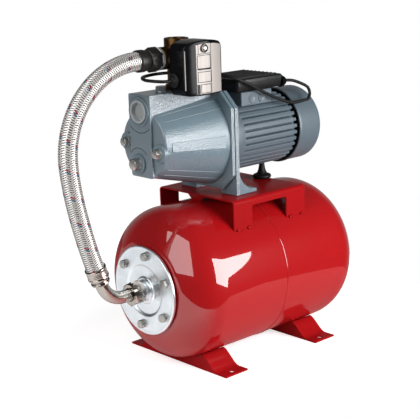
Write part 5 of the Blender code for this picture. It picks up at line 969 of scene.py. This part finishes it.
# Fine casting lines along the cone and round the two openings of the front.
castLine = {"radius": 0.55, "arc": 0.75, "angles": (121, 135.5, 222, 236), "run": (-186, -68),
            "portArc": (36, 227, 313), "drainArc": (26, 38, 142)}
low, high = castLine["run"]
runs = [[coneAt(low + (high - low) * k / 12, radians(a)) for k in range(13)] for a in castLine["angles"]]
made("castingLines", [swept(run, castLine["radius"], 10) for run in runs], flatPaint, "hammered_grey",
     sharp=60)
# The arcs round the two openings are raised lines in painted groove shade.
runs = []
for (y, z), (reach, start, end) in (((portY, portZ), castLine["portArc"]),
                                    (casing["drain"], castLine["drainArc"])):
    turns = [radians(start + (end - start) * k / 24) for k in range(25)]
    runs.append([Vector((casing["slabFace"] + 0.3, y + reach * cos(a), z + reach * sin(a))) for a in turns])
made("castingArcs", [swept(run, castLine["arc"], 10) for run in runs], grooveShadePaint, "hammered_grey",
     sharp=60)

# Plugs: hexagon heads on washers.
plugs = {"left_plug": ((-203, *casing["sides"][0]), toHose, 14, 8),
         "right_plug": ((-203, *casing["sides"][1]), toHose, 14, 8),
         "drain_plug": ((-207, *casing["drain"]), toHose, 18, 11),
         "priming_plug": ((-157, 0, 480.2), toTop, 17, 8)}
for node, (at, way, flats, high) in plugs.items():
    look = zinc if node == "priming_plug" else stainless
    head = hexHead(at, way, flats, high, 1.2, flats / 2 + 1.2)
    made(node.replace("_plug", "Plug"), head, look, "nickel", node, sharp=28)

stopper = [(14.7, 0), (14.7, 16), (2.7, 16), (2.7, 19.5), (-2, 19.5), (-2, 15.8), (-1.2, 15), (6, 14.4),
           (6, 0)]
lathed("suctionPlug", stopper, casing["port"], toMotor, greyPlastic, "grey_plastic", "suction_plug",
       soft=0.9, sharp=40, body="suction_plug")
face = [(6.2, 0), (6.2, 14.2), (5.4, 14.2), (5.2, 11), (4.6, 10.4), (4.6, 0)]
lathed("suctionPlugFace", face, casing["port"], toMotor, plugFace, "grey_plastic", steps=72, sharp=40,
       body="suction_plug")

print("stage: motor bracket and motor")

deckZ = 293.3
lantern = {"front": -57.9, "back": -49.4, "half": 72, "foot": -9.4, "footHeight": 7, "gusset": 10,
           "gussetHeight": 42, "arch": (33, 308.3), "bolts": (-49.1, 52, 58),
           "soleBolts": (-23.4, 48, 300.6)}
start, end = lantern["back"] - 0.5, lantern["foot"] - 4
footTopZ, rise = deckZ + lantern["footHeight"], lantern["gussetHeight"] - lantern["footHeight"]
sweep = [(start, deckZ + 1), (end, deckZ + 1)]
for k in range(20, -1, -1):
    turn = k * pi / 40
    sweep.append((start + (end - start) * (1 - cos(turn)), footTopZ + rise * (1 - sin(turn))))
joint = jointOutline(lantern["half"], deckZ)
stand = bevelled(build("motorBracket", [prism(joint, lantern["front"], lantern["back"], "yz")], hammered),
                 0.9, 3)
parts = [bevelled(build("sole", [brick((lantern["front"] + 0.3, -lantern["half"] + 0.1, deckZ + 0.05),
                                       (lantern["foot"], lantern["half"] - 0.1, footTopZ))], hammered),
                  1.4, 3)]
for side in (-1, 1):
    middle, thick = side * (lantern["half"] - lantern["gusset"] / 2), lantern["gusset"] / 2
    parts.append(build("gusset", [prism(sweep, middle - thick + 0.3, middle + thick - 0.3, "xz")],
                       hammered))
merged(stand, parts)
archHalf, archTop = lantern["arch"]
carved(stand, [prism(roundedBox(-archHalf, deckZ - 40, archHalf, archTop, 6), -70, 10, "yz"),
               turned([(-70, 0), (-70, 16.6), (-45, 16.6), (-45, 0)], (0, 0, shaftZ), toMotor, 48)])
evened(stand, 30)
stand.data.materials.append(litSideHammered)
# The lighter copy on the faces toward the front lamp, as a painted highlight.
for face in stand.data.polygons:
    if face.normal.y < -0.9 and face.center.x < place((lantern["back"] + 0.5, 0, 0)).x:
        face.material_index = 1
wear(stand, "set", "motor_bracket", slot="motor_grey")

heads = []
boltX, boltY, boltZ = lantern["bolts"]
for y in (-boltY, boltY):
    for z in (shaftZ - boltZ, shaftZ + boltZ):
        heads += hexHead((boltX, y, z), toMotor, flange["flats"], flange["head"])
made("casingBolts", heads, boltZinc, "zinc_plate", *["casing_bolt_%d" % i for i in range(1, 5)], sharp=28)
heads = []
boltX, boltY, boltZ = lantern["soleBolts"]
for y in (-boltY, boltY):
    heads += hexHead((boltX, y, boltZ), toTop, flange["flats"], flange["head"])
made("bracketBolts", heads, boltZinc, "zinc_plate", "bracket_bolt_1", "bracket_bolt_2", sharp=28)

motor = {"front": -49.1, "back": 103.9, "collarEnd": -25.1, "bore": 50.3, "root": 57, "tip": 65,
         "fins": 34, "finWidth": 8.7, "finEnd": 96.5, "lugs": (97.7, 103.9), "pad": (-20, 55),
         "padHalf": 50, "padFoot": 441, "padTop": 466, "knockouts": (6, 29), "knockoutDrop": 13}
core = [(motor["front"], motor["bore"]), (motor["front"], 62), (motor["front"] + 2.5, 64.6),
        (motor["collarEnd"], 64.8), (motor["collarEnd"] + 0.6, motor["root"]),
        (motor["back"], motor["root"]), (motor["back"], motor["bore"])]
lathed("motorHousing", core, (0, 0, shaftZ), toMotor, motorPaint, "motor_grey", "motor_housing", soft=1.0,
       steps=144, looped=True, sharp=40)
pad = roundedBox(motor["pad"][0], motor["padFoot"], motor["pad"][1], motor["padTop"], 2.5)
padPiece = bevelled(build("terminalPad", [prism(pad, -motor["padHalf"], motor["padHalf"], "xz")],
                          motorPaint), 2.0, 3)
disc = filleted([(-3, 0), (-3, 8), (1.2, 8), (1.2, 6.6), (0.6, 6.4), (0.6, 0)], 0.4, 2)
discZ = motor["padTop"] - motor["knockoutDrop"]
discs = [turned(disc, (x, side * motor["padHalf"], discZ), (0, side, 0), 48)
         for side in (-1, 1) for x in motor["knockouts"]]
knockouts = build("padKnockouts", discs, motorPaint)
half = motor["finWidth"] / 2
fin = filleted([(-half - 0.5, motor["root"] - 1), (-half, motor["tip"] - 0.1), (0, motor["tip"]),
                (half, motor["tip"] - 0.1), (half + 0.5, motor["root"] - 1)], 1.3, 3)
lug = [(y * 0.72, shaftZ + z - 0.8) for y, z in fin]
fin = [(y, shaftZ + z) for y, z in fin]
finPiece = build("motorFins", [prism(fin, motor["collarEnd"] - 4, motor["finEnd"], "yz"),
                               prism(lug, *motor["lugs"], "yz")], motorPaint)
spread(finPiece, motor["fins"], (0, 0, shaftZ))
for piece in (padPiece, knockouts, finPiece):
    wear(piece, "set", slot="motor_grey")

cover = {"front": 108.2, "back": 169.2, "radius": 68, "wall": 1.6, "corner": 12, "slots": 16,
         "slotWidth": 3.2, "slot": (16, 52)}
corner, wall, front, rim = cover["corner"], cover["wall"], cover["front"], cover["radius"]
knee = (cover["back"] - corner, rim - corner)
bends = [k * pi / 20 for k in range(11)]
outer = [(front, rim - wall), (front, rim + 0.6), (front + 0.8, rim + 1.1), (front + 4.6, rim + 1.1),
         (front + 5.6, rim)]
outer += [(knee[0] + corner * sin(a), knee[1] + corner * cos(a)) for a in bends]
outer += [(cover["back"], 14), (cover["back"] - 0.8, 13), (cover["back"] - 0.8, 0)]
inner = [(cover["back"] - wall - 0.8, 0)]
inner += [(knee[0] + (corner - wall) * cos(a), knee[1] + (corner - wall) * sin(a)) for a in bends]
hood = build("fanCover", [turned(outer + inner, (0, 0, shaftZ), toMotor, 144, looped=True)], motorPaint, 40)
slot = roundedBox(-cover["slotWidth"] / 2, cover["slot"][0], cover["slotWidth"] / 2, cover["slot"][1],
                  1.5, 4)
slot = [(y, shaftZ + z) for y, z in slot]
slots = build("coverSlots", [prism(slot, cover["back"] - 8, cover["back"] + 5, "yz")], motorPaint)
spread(slots, cover["slots"], (0, 0, shaftZ))
carved(hood, slots)
smoothed(hood, 40)
wear(hood, "set", "fan_cover", slot="cover_grey")

supportX = 76
post = [(0, 0), (0, 14), (1.2, 16), (3, 17), (5, 17), (6.8, 16), (8, 13.6), (8.6, 10.6), (12, 8.2),
        (17, 6.4), (23, 5.4), (29.4, 5), (29.4, 0)]
lathed("supportFoot", post, (supportX, 0, deckZ), toTop, rubber, "black_rubber", "motor_support_foot",
       soft=0.8, sharp=30)

print("stage: terminal box")

tray = {"low": (-29, -50), "high": (85, 50), "corner": 6, "ribs": 9, "ribRun": 78,
        "box": ((466.3, 4), (466.9, 2.8), (468, 2.2), (478, 0.6), (481.3, 0.4)),
        "lid": ((481.6, 0), (486.2, 0), (487.4, 0.5), (488.4, 1.6), (488.8, 3.4))}
(lowX, lowY), (highX, highY) = tray["low"], tray["high"]
for name, levels, node in (("terminalBox", tray["box"], "terminal_box"),
                           ("terminalLid", tray["lid"], "terminal_box_lid")):
    rings = []
    for z, inset in levels:
        corners = roundedBox(lowX + inset, lowY + inset, highX - inset, highY - inset, tray["corner"], 8)
        rings.append([(a, b, z) for a, b in corners])
    made(name, [lofted(rings)], boxPlastic, "black_plastic", node, sharp=40)
rib = roundedBox(lowX + 8, lowY + 9, highX - 8, lowY + 13, 1.5, 3)
ribs = bevelled(build("lidRibs", [prism(rib, 488, 490.6, "xy")], boxPlastic), 0.7, 2)
spread(ribs, tray["ribs"], step=(0, tray["ribRun"] / (tray["ribs"] - 1), 0))
wear(ribs, "set", slot="black_plastic")
gland = [(0, 0), (0, 9.8), (0.8, 10.5), (6, 10.5), (7, 9.6), (7.4, 9), (9.4, 8.8), (12, 7.4), (12.8, 5.4),
         (13, 3.1), (7, 3), (7, 0)]
lathed("boxGland", gland, (highX + 0.3, *cable["route"][0][1:]), toMotor, blackPlastic, "black_plastic",
       "box_gland", steps=72)

print("stage: fitting and switch")

fitting = {"x": -120, "foot": 480.6, "switchZ": 521.6, "threads": 8, "threadPitch": 2.1}
column = [(-11, 0), (-11, 16), (0, 16), (0, 16.5), (8.6, 16.8), (9.4, 17), (64, 17), (66, 19.5), (67, 21),
          (84.6, 21), (86, 20), (86, 16.4), (85, 15.6), (68, 15.6), (68, 0)]
hexFoot = [(0, 0), (0, 19.6), (1, 21.9), (8, 21.9), (9, 19.6), (9, 0)]
spout = [(10, 0), (10, 18), (14, 19), (36, 19), (38, 18.2), (38.2, 15), (57, 15), (57, 9.5), (40, 9.5),
         (40, 0)]
side = [(0, 0), (0, 9.6), (16, 9.6), (18, 8.8), (18, 0)]
rear = [(0, 0), (0, 10), (22.4, 10), (24, 8.6), (24, 0)]
fittingFoot = (fitting["x"], 0, fitting["foot"])
solids = [turned(filleted(column, 1.0, 3), fittingFoot, toTop, 96),
          turned(hexFoot, fittingFoot, toTop, 96, 38),
          turned(filleted(spout, 0.9, 3), (fitting["x"], 0, hoseZ), toHose, 96),
          turned(side, (fitting["x"], 0, fitting["switchZ"]), (0, -1, 0), 64),
          turned(rear, (fitting["x"], 0, fitting["switchZ"]), toBack, 64)]
made("fiveWayFitting", solids, brass, "brass", "five_way_fitting", sharp=40)
ridge = [(-0.9, 14.8), (-0.2, 15.7), (0.2, 15.7), (0.9, 14.8)]
threads = build("portThread", [turned(ridge, (socketX, 0, hoseZ), toHose, 72, looped=True)], brass, 50)
spread(threads, fitting["threads"], step=(-fitting["threadPitch"], 0, 0))
wear(threads, "set", slot="brass")

switch = {"lowX": -165.5, "highX": -81.5, "foot": 476.6, "head": 566.6, "back": -34.6, "crown": -79.6,
          "bulge": 11, "rounding": 10, "edge": 2.6, "wall": 2.5, "arch": 7, "nut": (-130, 553.6)}
middleX = (switch["lowX"] + switch["highX"]) / 2
arcRadius = ((switch["highX"] - middleX) ** 2 + switch["bulge"] ** 2) / (2 * switch["bulge"])


def arched(x, z):
    middle = (switch["foot"] + switch["head"]) / 2
    share = max(0.0, (z - middle) / (switch["head"] - middle))
    return z - switch["arch"] * share * ((x - middleX) / (switch["highX"] - middleX)) ** 2


def frontY(x):
    return switch["crown"] + arcRadius - sqrt(arcRadius ** 2 - (x - middleX) ** 2)


def resampled(outline, count):
    closed = [Vector(p) for p in outline] + [Vector(outline[0])]
    lengths = [(b - a).length for a, b in zip(closed, closed[1:])]
    total, spots, k, passed = sum(lengths), [], 0, 0.0
    for i in range(count):
        want = total * i / count
        while passed + lengths[k] < want:
            passed += lengths[k]
            k += 1
        spots.append(tuple(closed[k].lerp(closed[k + 1], (want - passed) / max(lengths[k], 1e-9))))
    return spots


def coverRing(inset, depth, flat=None):
    cornerRadius = max(switch["rounding"] - inset, 1.0)
    outline = resampled(roundedBox(switch["lowX"] + inset, switch["foot"] + inset, switch["highX"] - inset,
                                   switch["head"] - inset, cornerRadius, 8), 168)
    return [(x, frontY(x) + depth if flat is None else flat, arched(x, z)) for x, z in outline]


edge, wall = switch["edge"], switch["wall"]
rings = [coverRing(inset, 0, y) for inset, y in ((14, -66), (wall, -63), (wall, switch["back"]),
                                                 (0, switch["back"]))]
rings += [coverRing(edge * (1 - cos(k * pi / 12)), edge * (1 - sin(k * pi / 12))) for k in range(7)]
rings += [coverRing(inset, 0) for inset in (7, 12, 18, 24, 30, 36)]
made("switchCover", [lofted(rings)], blackPlastic, "black_plastic", "switch_cover", sharp=45)


def bowed(low, high, lift, sink=0.0, steps=16):
    xs = [low[0] + (high[0] - low[0]) * k / steps for k in range(steps + 1)]
    band = [(x, frontY(x) - lift) for x in xs] + [(x, frontY(x) + sink) for x in xs[::-1]]
    points, faces = prism(band, low[1], high[1], "xy")
    return [Vector((p.x, p.y, arched(p.x, p.z))) for p in points], faces


# The front's silver panel follows its bow, with bare frames where a maker would print.
panel = {"low": (-145.5, 479.6), "high": (-87, 561), "lift": 0.35, "line": 1.0,
         "notch": ((-145.2, 479.8), (-139.5, 495.5))}
foil = build("switchPanel", [bowed(panel["low"], panel["high"], panel["lift"], 0.5, 32)], silverFoil, 30)
carved(foil, [bowed(*panel["notch"], 4, 4)])
smoothed(foil, 30)
wear(foil, "set", slot="black_plastic")
# A thin silver strip along the cover's left edge: a painted highlight on its rounded edge.
made("switchTrim", [bowed((-164.3, 487), (-163.2, 556), 0.3, 1.0)], silverFoil, "black_plastic", sharp=30)
frames = {"window": (-144, 520.6, -117, 543), "note": (-143.5, 498.2, -116, 516),
          "block": (-138, 480.4, -117, 495.4)}
line = panel["line"]
lines = [bowed((-116, 480), (-115.2, 560.8), 0.5), bowed((-144.5, 544.6), (-115.8, 545.6), 0.5),
         bowed((-142.2, 546), (-141.2, 560.8), 0.5), bowed((-144, 518.8), (-116.5, 521), 0.6)]
for lowX, lowZ, highX, highZ in frames.values():
    for x0, z0, x1, z1 in ((lowX, lowZ, highX, lowZ + line), (lowX, highZ - line, highX, highZ),
                           (lowX, lowZ, lowX + line, highZ), (highX - line, lowZ, highX, highZ)):
        lines.append(bowed((x0, z0), (x1, z1), 0.52))
made("panelFrames", lines, blackPlastic, "black_plastic", sharp=30)

nutX, nutZ = switch["nut"]
nutFoot = (nutX, frontY(nutX), nutZ)
knob = [(3, 0), (3, 5.4), (-0.3, 5.4), (-0.4, 7), (-1.6, 7.2), (-2.6, 6.6), (-2.8, 5.2), (-2.2, 4.9),
        (-2.2, 0)]
lathed("coverNut", knob, nutFoot, toBack, darkNickel, "nickel", "cover_nut", steps=48, sharp=28)
dome = [(-2, 0), (-2, 4.5), (-3.6, 4.4), (-4.4, 3.6), (-4.8, 2), (-4.85, 0)]
lathed("coverNutDome", dome, nutFoot, toBack, stainless, "nickel", steps=48, sharp=60)
grommet = [(-3, 0), (-3, 6), (0.2, 6), (0.2, 11.4), (1.4, 12), (3.4, 12), (4.4, 11), (4.8, 7.6),
           (6.6, 7.4), (8.2, 6.4), (8.9, 5), (9, 3.1), (3, 3), (3, 0)]
lathed("switchGland", grommet, (switch["lowX"], *cable["route"][-1][1:]), toHose, rubber, "black_rubber",
       "switch_gland", soft=0.5, softSteps=2, steps=72)
chamber = [(-18.3, 0), (-18.3, 9.6), (-21.3, 9.6), (-21.3, 26), (-22.4, 29.4), (-24.2, 30), (-28.8, 30),
           (-30.3, 29), (-30.3, 0)]
seat = roundedBox(switch["lowX"] + 4, switch["foot"] + 4, switch["highX"] - 4, switch["head"] - 4, 5)
solids = [turned(filleted(chamber, 0.8, 3), (fitting["x"], 0, fitting["switchZ"]), toBack, 96),
          prism([(x, arched(x, z)) for x, z in seat], -34.3, -30.2, "xz")]
for x in (-146.3, -100.7):
    solids.append(brick((x - 1.5, -47.3, 495.6), (x + 1.5, -33.8, 505.6)))
wear(bevelled(build("switchBase", solids, zinc), 0.4, 2, 50), "set", "switch_base", slot="zinc_plate")

print("stage: air valve")

stem = [(-6, 0), (-6, 5), (0.6, 5), (0.6, 9), (2, 9), (2.6, 5), (12, 4.6), (12, 0)]
valveFoot = (tank["half"] + tank["head"], 0, tank["z"])
lathed("airValve", stem, valveFoot, toMotor, brass, "brass", "air_valve", soft=0.4, softSteps=2, steps=48)
cap = [(12.6, 0), (12.6, 5.3), (3, 5.3), (3, 6.2), (5, 6.5), (16.4, 6.5), (17.6, 5.8), (18, 4.4), (18, 0)]
lathed("airValveCap", cap, valveFoot, toMotor, blackPlastic, "black_plastic", "air_valve_cap", soft=0.4,
       softSteps=2, steps=72, body="air_cap")

print("stage: finish")
